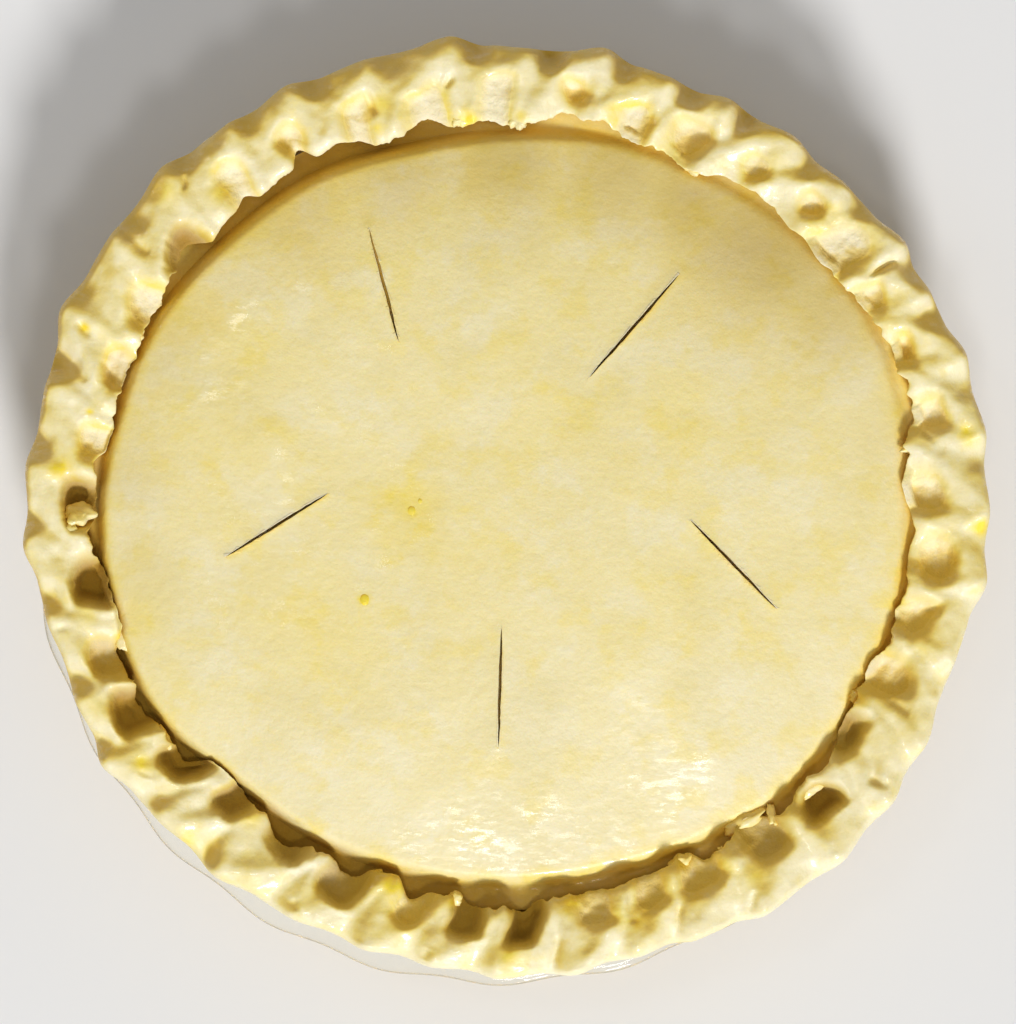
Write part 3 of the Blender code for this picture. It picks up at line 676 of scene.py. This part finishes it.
class Rim:
    def __init__(self, values):
        self.set = values
        draw = random.Random(values["seed"])
        noise.seed_set(values["warpSeed"])      # noise_vector goes by the clock without it
        columns = np.array(values["pinches"]).T
        self.lobeTurn, self.outer, self.noseLeft, self.noseRight, self.inner, self.edge, self.scoop = columns
        self.dentTurn, self.dentReach, self.dentWide, self.dentLong, self.lean, self.depth, self.open = (
            np.array(values["dents"]).T)
        self.count = len(self.outer)
        spread = values["crestSpread"]
        self.crest = np.array([values["crest"] + draw.uniform(-1, 1) * spread for _ in self.outer])
        nextNose, nextLobe = np.roll(self.noseLeft, -1), np.roll(self.lobeTurn, -1)
        nextNose[-1] += 360
        nextLobe[-1] += 360
        corner = values["noseCorner"]
        valley = (self.noseRight + nextNose) / 2
        self.innerKnots = (
            np.concatenate((self.noseLeft + corner, self.noseRight - corner, valley)),
            np.concatenate((self.inner + corner, self.inner, self.edge)))
        between = (self.outer + np.roll(self.outer, -1)) / 2
        self.outerTurns = np.concatenate((self.lobeTurn, (self.lobeTurn + nextLobe) / 2))
        self.topReach = np.concatenate((self.outer, between - values["topIndent"]))
        self.baseReach = np.concatenate((self.outer, between - values["baseIndent"]))

    def noseX(self, j):
        return self.along((self.whole(self.noseLeft, j, 360) + self.whole(self.noseRight, j, 360)) / 2)

    def whole(self, values, k, wrap=0.0):
        return values[k % self.count] + (k // self.count) * wrap

    def along(self, bearing):
        return np.radians(bearing) * self.set["unroll"]

    # the rope of dough that runs from nose j out to lobe j, and from there on to the next nose
    def ropeAt(self, x, y, j):
        values = self.set
        lobeX = self.along(self.whole(self.lobeTurn, j, 360))
        lobeY = self.whole(self.outer, j) - values["lobeInset"]
        noseX = self.along(self.whole(self.noseRight, j, 360)) - values["noseInset"]
        noseY = self.whole(self.inner, j) + values["noseInset"]
        nextX = self.along(self.whole(self.noseLeft, j + 1, 360)) + values["noseInset"]
        nextY = self.whole(self.inner, j + 1) + values["noseInset"]
        low = values["ridgeLow"]
        gap, t, _ = segmentDistance(x, y, noseX, noseY, lobeX, lobeY)
        ridge = values["ridgeRise"] * (low + (1 - low) * t) * np.exp(-(gap / values["ridgeWidth"]) ** 2)
        gap, t, side = segmentDistance(x, y, lobeX, lobeY, nextX, nextY)
        bowed = np.abs(gap - side * values["diagonalBow"] * 4 * t * (1 - t))
        diagonal = values["diagonalRise"] * np.exp(-(bowed / values["diagonalWidth"]) ** 2)
        return np.maximum(ridge, diagonal) + values["crossing"] * np.minimum(ridge, diagonal)

    # the dent after nose j: 1 on its floor, steep beside the nose, gentle beyond, under a falling arch
    def dentAt(self, x, y, j):
        values = self.set
        lean = np.radians(self.whole(self.lean, j))
        awayX = x - self.along(self.whole(self.dentTurn, j, 360))
        awayY = y - self.whole(self.dentReach, j)
        u = (awayX * np.cos(lean) + awayY * np.sin(lean)) / self.whole(self.dentWide, j)
        v = (awayY * np.cos(lean) - awayX * np.sin(lean)) / self.whole(self.dentLong, j)
        v = np.where(v < 0, v * (1 - values["closing"] * self.whole(self.open, j)),
                     v / (1 - values["archFall"] * ease((u + 1) / 2)))
        square = values["squareness"]
        away = (np.abs(u) ** square + np.abs(v) ** square) ** (1 / square)
        shallow = 1 - np.clip((self.whole(self.depth, j) - values["deepDent"]) / values["steepOver"], 0, 1)
        wall = values["gentleWall"] - values["steepWall"]
        wall = values["steepWall"] + wall * ease((u + 1) / 2) * shallow
        return ease((1 - away) / wall + values["wallStart"]), np.minimum(away, 1)

    def scoopAt(self, x, y, j):
        values = self.set
        u = (x - self.along(self.whole(self.lobeTurn, j, 360)) + values["scoopBack"]) / values["scoopWide"]
        v = (y - self.whole(self.outer, j) - values["scoopOut"]) / values["scoopLong"]
        return ease(values["scoopReach"] - np.hypot(u, np.minimum(v, 0)))

    def warped(self, bearing, radius):
        spots = onRing(bearing, radius, 0.0)
        x, y = self.along(bearing), radius + 0.0
        for size, shift in self.set["warps"]:
            moves = np.array([noise.noise_vector(Vector(p) / size)[:2] for p in spots.tolist()])
            x, y = x + moves[:, 0] * shift, y + moves[:, 1] * shift
        return x, y

    # height of the top, how far into a dent it is, how far into a scoop, and the painted shade of steep,
    # sunken dents
    def top(self, bearing, radius):
        values = self.set
        k = np.searchsorted(self.lobeTurn, bearing % 360, side="right") - 1
        x, y = self.warped(bearing, radius)
        lobe = self.whole(self.lobeTurn, k, 360)
        gap = self.whole(self.lobeTurn, k + 1, 360) - self.whole(self.lobeTurn, k, 360)
        share = ease((x - self.along(lobe)) / self.along(gap))
        body = self.whole(self.crest, k) * (1 - share) + self.whole(self.crest, k + 1) * share
        away = y - values["crestRadius"]
        outwards = values["lobeDroop"] + values["farDroop"] * np.clip(np.sin(np.radians(bearing)), 0, 1)
        body = body - np.where(away < 0, values["noseDroop"] * (away / values["droopOver"]) ** 2,
                               outwards * (away / values["droopOut"]) ** 2)
        hollow, scooped, paintedDentShade, rope = (np.zeros_like(body) for _ in range(4))
        for j in (k - 1, k, k + 1):
            rope = np.maximum(rope, self.ropeAt(x, y, j))
        body = body + rope
        for j in (k, k + 1):
            away = np.hypot((x - self.noseX(j)) / values["bulbWide"],
                            (y - self.whole(self.inner, j) - values["bulbIn"]) / values["bulbLong"])
            body = body + values["bulbRise"] * np.exp(-away**2)
        for j in (k, k + 1):
            scoop = self.scoopAt(x, y, j) * self.whole(self.scoop, j)
            body = body - scoop
            scooped = np.maximum(scooped, scoop / values["scoopDeepest"])
        for j in (k - 2, k - 1, k, k + 1):
            pressed, away = self.dentAt(x, y, j)
            depth = self.whole(self.depth, j)
            floor = values["crest"] + values["floorLift"] - depth * (1 - values["bowl"] * away**2)
            floor = floor + values["floorTilt"] * (y - self.whole(self.dentReach, j))
            body = body + (np.minimum(floor, body) - body) * pressed
            hollow = np.maximum(hollow, pressed)
            dark = np.clip((depth - values["deepDent"]) / values["darkOver"], 0, 1)
            paintedDentShade = np.maximum(paintedDentShade, pressed * dark)
        return body, hollow, scooped, paintedDentShade

    # creases, lumps and, on a dent's floor, flaky dough
    def reliefAt(self, bearing, radius, hollow):
        values = self.set
        x, y = self.warped(bearing, radius)
        spots = onRing(bearing, radius, 0.0)
        relief = values["lumpHeight"] * lumps(spots, values["lumpSize"], octaves=2)
        flaky = values["flakyHeight"] * lumps(spots, values["flakySize"], octaves=3)
        relief = relief + (values["flakyLeast"] + hollow) * flaky
        for turnA, reachA, turnB, reachB, depth, wide in values["creases"]:
            gap, t, _ = segmentDistance(x, y, self.along(turnA), reachA, self.along(turnB), reachB)
            shape = np.exp(-(gap / wide / values["creaseSpread"]) ** 2)
            ends = np.sqrt(np.maximum(4 * t * (1 - t), values["creaseEnd"]))
            relief = relief - depth * values["creaseDepth"] * shape * ends
        return relief

    # egg gathered in places, 0 to 1
    def yolkAt(self, bearing, radius):
        found = np.zeros_like(radius)
        for turn, reach, size, strength in self.set["yolks"]:
            sideways = ((bearing - turn + 180) % 360 - 180) * math.radians(reach)
            found = np.maximum(found, strength * np.exp(-(np.hypot(sideways, radius - reach) / size) ** 2))
        return found


# blurs a grid of rows and columns in place; the columns close round the pie
def soften(grid, around, across):
    for _ in range(around):
        grid[:] = (np.roll(grid, 1, 1) + 2 * grid + np.roll(grid, -1, 1)) / 4
    for _ in range(across):
        framed = np.vstack((grid[:1], grid, grid[-1:]))
        grid[:] = (framed[:-2] + 2 * grid + framed[2:]) / 4


rim = Rim(rimSet)


# bottom crust against the glass: radius and height of its rows, reaching just into the wall
caseSet = {
    "into": 0.35, "rows": ((114.4, 38), (111.4, 37), (108.6, 34), (103.1, 26.2), (97.6, 18.4), (92.1, 10.6),
                           (88.6, 6.8), (83, 5.4), (60, 5.4), (30, 5.4)),
    "innerHeight": 34, "innerRadius": 90,
}


def plainRing(radius, height, turn):
    return np.stack([radius * np.cos(turn), radius * np.sin(turn), np.full_like(turn, height)], -1)


def makeCrust():
    values = rimSet
    bearing = np.arange(values["columns"]) * 360 / values["columns"]
    edge = onRing(bearing, 110, 0.0)
    ragged = values["ragLeast"] + ease(0.5 + 2 * lumps(edge, values["ragPatch"], shift=3))
    rag = values["rag"] * lumps(edge, values["ragSize"], octaves=3) * ragged
    inner = roundKnots(*rim.innerKnots, bearing) + rag
    topReach = roundKnots(rim.outerTurns, rim.topReach, bearing)
    baseReach = roundKnots(rim.outerTurns, rim.baseReach, bearing)
    tuck = math.radians(values["tuck"])
    under = inner + values["undercut"] + values["closeIn"]
    rows = [(under, inner + values["innerCap"], 0, lidHeight(bearing, under) - values["closeDown"])]
    for k in range(values["innerRows"]):
        turn = -tuck + (tuck + math.pi / 2) * k / values["innerRows"]
        if turn < 0:
            radius = inner + values["undercut"] * (1 - math.cos(turn)) / (1 - math.cos(tuck))
            full = values["lipShare"] * (1 + math.sin(turn) / math.sin(tuck))
        else:
            radius = inner + values["innerCap"] * (1 - math.cos(turn))
            full = values["lipShare"] + (1 - values["lipShare"]) * math.sin(turn)
        sampled = np.maximum(radius, inner + values["innerCap"] * values["sampledFrom"])
        rows.append((radius, sampled, full, lidHeight(bearing, radius) + values["noseLift"]))
    first, last = inner + values["innerCap"], topReach - values["outerCap"]
    for k in range(values["topRows"]):
        radius = first + (last - first) * k / (values["topRows"] - 1)
        rows.append((radius, radius, 1, 0))
    for k in range(values["outerRows"]):
        sunk = (k + 1) / values["outerRows"]
        turn = math.pi / 2 - (tuck + math.pi / 2) * sunk
        radius = topReach - values["outerCap"] * (1 - math.cos(turn))
        full = (math.sin(turn) + math.sin(tuck)) / (1 + math.sin(tuck))
        shifted = radius + (baseReach - topReach) * ease(sunk * values["outerEase"])
        rows.append((shifted, np.minimum(radius, topReach - 1), full, 0))

    rings, layers = [], {"wash": [], "deep": [], "pool": []}
    grids = [np.array(grid) for grid in zip(*(rim.top(bearing, row[1]) for row in rows))]
    for grid in grids:
        soften(grid, values["softAround"], values["softAcross"])
    # painted shade in the scoops on the far side of the pie from the lamp
    shadowed = np.clip(np.sin(np.radians(bearing)) * values["scoopTurned"], 0, 1) * values["scoopDark"]
    for (radius, sampled, full, low), body, hollow, scooped, paintedDentShade in zip(rows, *grids):
        top = np.maximum(body + rim.reliefAt(bearing, sampled, hollow), 1.0)
        height = low + np.maximum(top - low, values["lipRise"]) * full
        rings.append(onRing(bearing, radius, height))
        dry = values["floorDry"] * ease(1 - (1 - hollow) * values["dryRise"]) + values["scoopDry"] * scooped
        layers["wash"].append(values["wash"] - dry)
        # painted shade low on the rim, where it tucks under towards the lid
        sunk = np.clip((values["deepFrom"] - height) / values["deepFrom"], 0, 1)
        sunk = sunk * np.clip((topReach - radius) / values["deepOver"], 0, 1)
        layers["deep"].append(np.maximum(np.maximum(sunk, paintedDentShade), scooped * shadowed))
        walls = hollow * (1 - hollow) * values["wallPool"]
        layers["pool"].append(np.maximum(walls, rim.yolkAt(bearing, radius)))

    into = caseSet["into"]
    turn = np.radians(bearing)
    for r, z in caseSet["rows"]:
        rings.append(plainRing(r + into, z - into, turn))
    rings.insert(0, plainRing(caseSet["innerRadius"], caseSet["innerHeight"], turn))
    for label, layer in layers.items():
        # the closing ring under the lip: full painted shade, no wash or pool
        layer.insert(0, np.full_like(turn, float(label == "deep")))
        layer.extend(np.zeros_like(turn) for _ in caseSet["rows"])
    crust = ringsToObject("pinchedCrust", rings, (0, 0, caseSet["innerHeight"]),
                          (0, 0, caseSet["rows"][-1][1] - into), layers, doughPaint)
    print("crust pinched:", len(crust.data.polygons), "faces")
    return crust


crust = makeCrust()


# The lid, with its vents cut in

lidMesh = {
    "sides": (720, 360, 90), "sideShares": (0.7, 0.25), "rows": 90, "crowding": 1.45, "bottom": -0.1,
    "lumpSize": 34, "lumpHeight": 0.45, "rippleSize": 9, "rippleHeight": 0.10, "levelling": 8, "wash": 0.9,
    # how much painted shade the edge gets under the rim and down the fall, and where egg gathers beside it
    "shadeIn": 2.6, "shadeOver": 4.4, "sunkFrom": 1.5, "sunkOver": 5, "sunkShare": 0.8, "sunkDark": 0.9,
    "poolFrom": 0.86, "poolOver": 0.1, "edgePool": 0.3,
    # where painted shade darkens the lid, along its top and sides away from the lamp, and where egg gathered,
    # its first rows along the far top also adding a yellow that stands in for shade: x, y, reach and strength
    "dark": (
        (74.7, 78, 26, 0.54), (55.3, 89.1, 19, 0.46), (91.3, 60, 19, 0.38), (33.2, 97.4, 19.4, 0.4),
        (2.8, 100.1, 19.4, 0.33), (-27.7, 97.4, 16.6, 0.26), (-55.3, 83.5, 16.6, 0.17),
        (-94, 51.7, 12.4, 0.12), (-103.7, 13, 12.4, 0.14), (105.1, 26.8, 11.1, 0.1),
        (-99.6, -11.9, 11.1, 0.08),
    ),
    "egg": (
        (74.7, 78, 22, 0.22), (88, 58, 14, 0.16), (55.3, 89.1, 17, 0.2), (22, 96, 20, 0.16),
        (-8, 98, 18, 0.14), (-24.3, 3.3, 7.2, 0.55), (-29, -5, 9.4, 0.35), (-17.7, -8.6, 7.2, 0.3),
        (-24.3, 1.7, 1.7, 1), (-37.3, -22.7, 1.4, 1), (-71.9, 21.3, 16.6, 0.16), (-47, -38.2, 12.7, 0.2),
        (-55.3, -23, 16.6, 0.14), (-96.8, 73.9, 7.7, 0.5), (-87.1, 80.8, 7.2, 0.6), (-78.8, 86.3, 6.1, 0.5),
        (16.6, 37.9, 13.8, 0.12), (52.6, 26.8, 13.8, 0.12), (-105.1, 26.8, 7.2, 0.35),
        (-101, -28.5, 7.2, 0.3), (-69.2, 46.2, 13.8, 0.12), (55.3, -28.5, 19.4, 0.1),
    ),
}

ventSet = {
    # middle x and y, bearing and length of each vent
    "vents": ((-32, 64, 104.7, 32.5), (37, 52.7, 49, 38), (-61.5, -2.2, 31.7, 33),
              (64.3, -13, -45.7, 34.5), (0, -47, 88.5, 33)),
    "width": 1.0, "depth": 4.5, "floorShare": 0.55, "clearance": 3, "steps": 24, "pointed": 0.6,
    "waver": 0.25, "waverSize": 4, "rough": 0.4, "roughSize": 22, "sharp": 40,
    "lipHeight": 0.22, "lipReach": 2.2, "lipFall": 2,
    # the vents' cut faces: full painted shade down in the cut, some egg wash and pool
    "paint": {"wash": 0.6, "deep": 1.0, "pool": 0.3},
}


# height of the swollen lips beside the vents, at points of the lid
def ventLips(spots):
    raised = np.zeros(len(spots))
    for x, y, bearing, length in ventSet["vents"]:
        turn = math.radians(bearing)
        along = (spots[:, 0] - x) * math.cos(turn) + (spots[:, 1] - y) * math.sin(turn)
        across = (spots[:, 1] - y) * math.cos(turn) - (spots[:, 0] - x) * math.sin(turn)
        beyond = np.maximum(np.abs(along) - length / 2, 0)
        away = np.hypot(beyond, across) / ventSet["lipReach"]
        raised += ventSet["lipHeight"] * np.exp(-away**2 * ventSet["lipFall"])
    return raised


# how strongly the spots of a table show at points of the lid
def spotted(spots, table):
    found = np.zeros(len(spots))
    for x, y, reach, strength in table:
        away = np.hypot(spots[:, 0] - x, spots[:, 1] - y) / reach
        found = np.maximum(found, strength * np.exp(-away**2))
    return found


def lidSpots(bearing, share):
    radius = (lidEdge(bearing, 0) + lidSet["tuck"]) * share
    spots = onRing(bearing, radius, lidHeight(bearing, radius))
    level = ease((1 - share) * lidMesh["levelling"])
    spots[:, 2] += ventLips(spots)
    spots[:, 2] += level * lidMesh["lumpHeight"] * lumps(spots, lidMesh["lumpSize"], octaves=2)
    spots[:, 2] += level * lidMesh["rippleHeight"] * lumps(spots, lidMesh["rippleSize"], shift=7)
    return spots


def makeVentCutter(index, x, y, bearing, length):
    turn = math.radians(bearing)
    along, across = Vector((math.cos(turn), math.sin(turn), 0)), Vector((-math.sin(turn), math.cos(turn), 0))
    middle = Vector((x, y, 0))
    surface = rimSet["base"] + float(lidHeight(*lidPolar(x, y))[0])
    sides = []
    for side in (1, -1):
        for k in range(1, ventSet["steps"]):
            share = k / ventSet["steps"] if side > 0 else 1 - k / ventSet["steps"]
            width = ventSet["width"] / 2 * math.sin(math.pi * share) ** ventSet["pointed"]
            bend = ventSet["waver"] * noise.noise(Vector((share * ventSet["waverSize"], index * 5, 0)))
            torn = noise.noise(Vector((share * ventSet["roughSize"], index * 3, side)))
            rough = 1 + ventSet["rough"] * torn
            sides.append(middle + along * length * (share - 0.5) + across * (bend + side * width * rough))
        sides.append(middle + along * length / 2 * side)
    work = bmesh.new()
    rings = []
    above, below = surface + ventSet["clearance"], surface - ventSet["depth"]
    for height, narrow in ((above, 1), (below, ventSet["floorShare"])):
        ring = []
        for spot in sides:
            away = (spot - middle).dot(across)
            ring.append(work.verts.new((spot + across * away * (narrow - 1) + Vector((0, 0, height))) * mm))
        rings.append(ring)
    work.faces.new(rings[0])
    work.faces.new(rings[1][::-1])
    for k in range(len(sides)):
        after = (k + 1) % len(sides)
        work.faces.new((rings[0][k], rings[1][k], rings[1][after], rings[0][after]))
    bmesh.ops.recalc_face_normals(work, faces=work.faces)
    mesh = bpy.data.meshes.new(f"ventCutter{index}")
    work.to_mesh(mesh)
    work.free()
    for label, value in ventSet["paint"].items():
        layer = mesh.attributes.new(label, "FLOAT", "POINT")
        layer.data.foreach_set("value", np.full(len(mesh.vertices), value))
    mesh.materials.append(doughPaint)
    return bpy.data.objects.new(f"ventCutter{index}", mesh)


def cutVents(lid):
    group = bpy.data.collections.new("ventCutters")
    bpy.context.scene.collection.children.link(group)
    cutters = [makeVentCutter(k, *vent) for k, vent in enumerate(ventSet["vents"])]
    for cutter in cutters:
        group.objects.link(cutter)
    cut = lid.modifiers.new("vents", "BOOLEAN")
    cut.operation, cut.operand_type, cut.collection, cut.solver = "DIFFERENCE", "COLLECTION", group, "EXACT"
    bpy.context.view_layer.update()
    result = bpy.data.meshes.new_from_object(lid.evaluated_get(bpy.context.evaluated_depsgraph_get()))
    lid.modifiers.remove(cut)
    lid.data = result
    for cutter in cutters:
        bpy.data.objects.remove(cutter)
    bpy.data.collections.remove(group)
    result.shade_smooth()
    result.set_sharp_from_angle(angle=math.radians(ventSet["sharp"]))


def makeLid():
    rings, deep, pool = [], [], []
    for k in range(lidMesh["rows"]):
        share = 1 - (k / lidMesh["rows"]) ** lidMesh["crowding"]
        sides = lidMesh["sides"][sum(share < limit for limit in lidMesh["sideShares"])]
        bearing = np.arange(sides) * 360 / sides
        rings.append(lidSpots(bearing, share))
        gutterAt, shoulder, shade = (lidEdge(bearing, column) for column in (0, 1, 4))
        height = rings[-1][:, 2] - rimSet["base"]
        # painted shade: darker right under the rim's inner edge and down in the gutter, scaled by the table's
        # last column
        sunk = np.clip((shoulder - lidMesh["sunkFrom"] - height) / lidMesh["sunkOver"], 0, 1)
        sunk = sunk * (share > lidMesh["sunkShare"])
        inwards = (gutterAt + lidSet["tuck"]) * share - roundKnots(*rim.innerKnots, bearing)
        near = ease((inwards + lidMesh["shadeIn"]) / lidMesh["shadeOver"])
        dark = np.minimum(np.maximum(sunk * lidMesh["sunkDark"], near) * shade, 1)
        deep.append(np.maximum(dark, spotted(rings[-1], lidMesh["dark"])))
        gathered = ease((share - lidMesh["poolFrom"]) / lidMesh["poolOver"])
        gathered = gathered * lidMesh["edgePool"] * (1 - sunk)
        pool.append(np.maximum(gathered, spotted(rings[-1], lidMesh["egg"])))
    edge = rings[0].copy()
    edge[:, 2] = rimSet["base"] + lidMesh["bottom"]
    rings, deep, pool = [edge] + rings, deep[:1] + deep, pool[:1] + pool
    middle = lidSpots(np.zeros(1), 0)[0].tolist()
    wash = [np.full(len(ring), lidMesh["wash"]) for ring in rings]
    layers = {"wash": wash, "deep": deep, "pool": pool}
    lid = ringsToObject("domedLid", rings, (*rimSet["centre"], rimSet["base"] + lidMesh["bottom"]), middle,
                        layers, doughPaint)
    cutVents(lid)
    print("lid domed and cut:", len(lid.data.polygons), "faces")
    return lid


lid = makeLid()


# Flakes and torn edges that stand on the rim, and drops of egg on the lid

flakeSet = {
    # bearing, radius, height of the middle, length, width, thickness, heading, pitch, roll, curl
    "flakes": (
        (180.4, 118, 8.2, 8.6, 6.4, 4.2, 24, 16, 25, 0.5),
        (182.4, 120.6, 9.4, 4.6, 4.4, 3.8, -30, 10, 0, 0.2),
        (307.6, 108.4, 3.6, 4.6, 13, 4.4, -8, -20, 0, -0.4),
        (311.2, 111.4, 5.4, 7, 2.4, 2.4, -28, 24, 0, 0.4), (9.2, 115.2, 7.8, 9.5, 4.4, 3.4, 6, -20, 0, 0.2),
        (302.6, 112.2, 6.8, 5.4, 2.8, 2.8, 12, -15, 0, 0.4), (294.8, 111.4, 6.6, 3, 5, 2.6, 0, -14, 0, 0.3),
        (204.2, 116.2, 7.4, 6.4, 2.6, 2.6, -6, -25, 0, 0.3),
        (222.4, 120.4, 9.8, 10.5, 2.8, 2.8, 14, 6, 10, 0.2),
        (317.8, 114, 5.8, 3.2, 9.4, 2.6, -12, -8, 0, 0.3), (88.6, 109, 7, 6.4, 6, 4, 24, -22, 0, 0.2),
        (61.6, 108.8, 7.2, 4.8, 6.4, 3.6, 8, -20, 0, 0.2), (250.6, 107.4, 5.4, 5, 5, 3.8, -12, -22, 0, 0.2),
        (97, 109.6, 7.2, 4.6, 5, 3.6, -10, -20, 0, 0.2), (198.4, 112.2, 6, 4.4, 6.4, 3.4, 0, -22, 0, 0.2),
        (154.2, 113.8, 7, 4.2, 4.8, 3.2, 10, -20, 0, 0.2), (213.2, 113.6, 6.2, 3, 8, 2.8, 0, -10, 0, 0.2),
        (262.4, 108, 5.6, 4, 4.4, 3.6, 0, -24, 0, 0.2), (296.6, 108.2, 5, 4.4, 6, 4.2, -10, -22, 0, 0.2),
        (332.2, 110, 6, 5.6, 4.6, 4, -14, -20, 0, 0.2),
    ),
    "detail": 4, "ragSize": 1.6, "rag": 0.42, "softness": 0.8, "uneven": 0.25,
    # x, y, width and height of each drop of egg
    "drops": ((-24.3, 1.7, 2.4, 0.2), (-37.3, -22.7, 2.8, 0.24), (-22.0, 4.4, 1.3, 0.14)), "dropSunk": 0.9,
    "dropDetail": 3, "dropStretch": 1.24, "dropUneven": 0.15, "dropWave": 1.4,
    # attributes of the flakes and of the drops
    "paint": {"wash": (0.75, 1.0), "deep": (0.0, 0.0), "pool": (0.12, 0.85)},
}


# a drop of egg: a low dome that stands on the lid
def addDrop(work, x, y, width, height):
    around, reach = lidPolar(x, y)
    level = lidSpots(around, reach / (lidEdge(around, 0) + lidSet["tuck"]))[0][2]
    sunk, long = flakeSet["dropSunk"], width * flakeSet["dropStretch"]
    for vertex in bmesh.ops.create_icosphere(work, subdivisions=flakeSet["dropDetail"], radius=1)["verts"]:
        wave = noise.noise(vertex.co * flakeSet["dropWave"] + Vector((x, y, 0)))
        spread = vertex.co * (1 + flakeSet["dropUneven"] * wave)
        vertex.co = Vector((x + spread.x * width / 2, y + spread.y * long / 2,
                            level + (spread.z * (1 + sunk) - sunk) * height)) * mm


# a flake: a flattened ball with a ragged outline, curled and set at its place
def addFlake(work, number, row):
    bearing, radius, height, length, width, thickness, heading, pitch, roll, curl = row
    made = bmesh.ops.create_icosphere(work, subdivisions=flakeSet["detail"], radius=1)["verts"]
    headed, pitched, rolled = (Matrix.Rotation(math.radians(angle), 3, axis)
                               for angle, axis in ((bearing + heading, "Z"), (-pitch, "Y"), (roll, "X")))
    turn = headed @ pitched @ rolled
    at = Vector(onRing(np.array([bearing]), np.array([radius]), height)[0])
    for vertex in made:
        x, y, z = vertex.co
        around = Vector((x, y, 0)) * flakeSet["ragSize"] + Vector((number * 7, 0, 3))
        ragged = 1 + flakeSet["rag"] * noise.fractal(around, 1.0, 2.0, 3)
        z = math.copysign(abs(z) ** flakeSet["softness"], z)
        spot = Vector((x * ragged * length / 2, y * ragged * width / 2, z * thickness / 2))
        wave = noise.noise(spot / 2 + Vector((0, number * 5, 0)))
        spot.z += curl * (x * x + y * y) - curl / 2 + flakeSet["uneven"] * wave
        vertex.co = (turn @ spot + at) * mm


def makeFlakes():
    work = bmesh.new()
    for number, row in enumerate(flakeSet["flakes"]):
        addFlake(work, number, row)
    flakeCount = len(work.verts)
    for row in flakeSet["drops"]:
        addDrop(work, *row)
    mesh = bpy.data.meshes.new("tornFlakes")
    work.to_mesh(mesh)
    work.free()
    for label, (flake, drop) in flakeSet["paint"].items():
        layer = mesh.attributes.new(label, "FLOAT", "POINT")
        layer.data.foreach_set("value", np.where(np.arange(len(mesh.vertices)) < flakeCount, flake, drop))
    mesh.materials.append(doughPaint)
    mesh.shade_smooth()
    made = bpy.data.objects.new("tornFlakes", mesh)
    bpy.context.scene.collection.objects.link(made)
    print("flakes torn:", len(mesh.polygons), "faces")
    return made


flakes = makeFlakes()


# How much of the window each point of the dough sees, kept as painted light and shade: the dough is painted
# darker and yellower where it sees little of it

shadeSet = {"rays": 7, "spread": 16, "start": 0.35 * mm, "far": 0.12, "turnedAway": -0.3, "smoothing": 2}


def paintLightAndShade(pieces):
    points, faces = [], []
    for piece in pieces:
        first = len(points)
        points.extend(vertex.co.copy() for vertex in piece.data.vertices)
        faces.extend([first + number for number in face.vertices] for face in piece.data.polygons)
    tree = BVHTree.FromPolygons(points, faces)
    light = towards(lightSet["keyBearing"], lightSet["keyRise"])
    side = light.cross(Vector((0, 0, 1))).normalized()
    above = side.cross(light)
    spread = math.tan(math.radians(shadeSet["spread"]))
    rays = [light]
    for k in range(shadeSet["rays"] - 1):
        turn = math.tau * k / (shadeSet["rays"] - 1)
        rays.append((light + (side * math.cos(turn) + above * math.sin(turn)) * spread).normalized())
    for piece in pieces:
        mesh = piece.data
        seen = np.zeros(len(mesh.vertices))
        for vertex in mesh.vertices:
            if vertex.normal.dot(light) > shadeSet["turnedAway"]:
                start = vertex.co + vertex.normal * shadeSet["start"]
                clear = sum(tree.ray_cast(start, ray, shadeSet["far"])[0] is None for ray in rays)
                seen[vertex.index] = clear / len(rays) * max(vertex.normal.dot(light), 0)
        ends = np.empty(len(mesh.edges) * 2, dtype=int)
        mesh.edges.foreach_get("vertices", ends)
        ends = ends.reshape(-1, 2)
        for _ in range(shadeSet["smoothing"]):
            total, count = seen.copy(), np.ones(len(seen))
            for a, b in ((0, 1), (1, 0)):
                np.add.at(total, ends[:, a], seen[ends[:, b]])
                np.add.at(count, ends[:, a], 1)
            seen = total / count
        layer = mesh.attributes.new("paintedLight", "FLOAT", "POINT")
        layer.data.foreach_set("value", seen)


paintLightAndShade([crust, lid, flakes])
for piece in (crust, lid, flakes):
    finish(piece, "root", "pastry")
print("dough shaded")
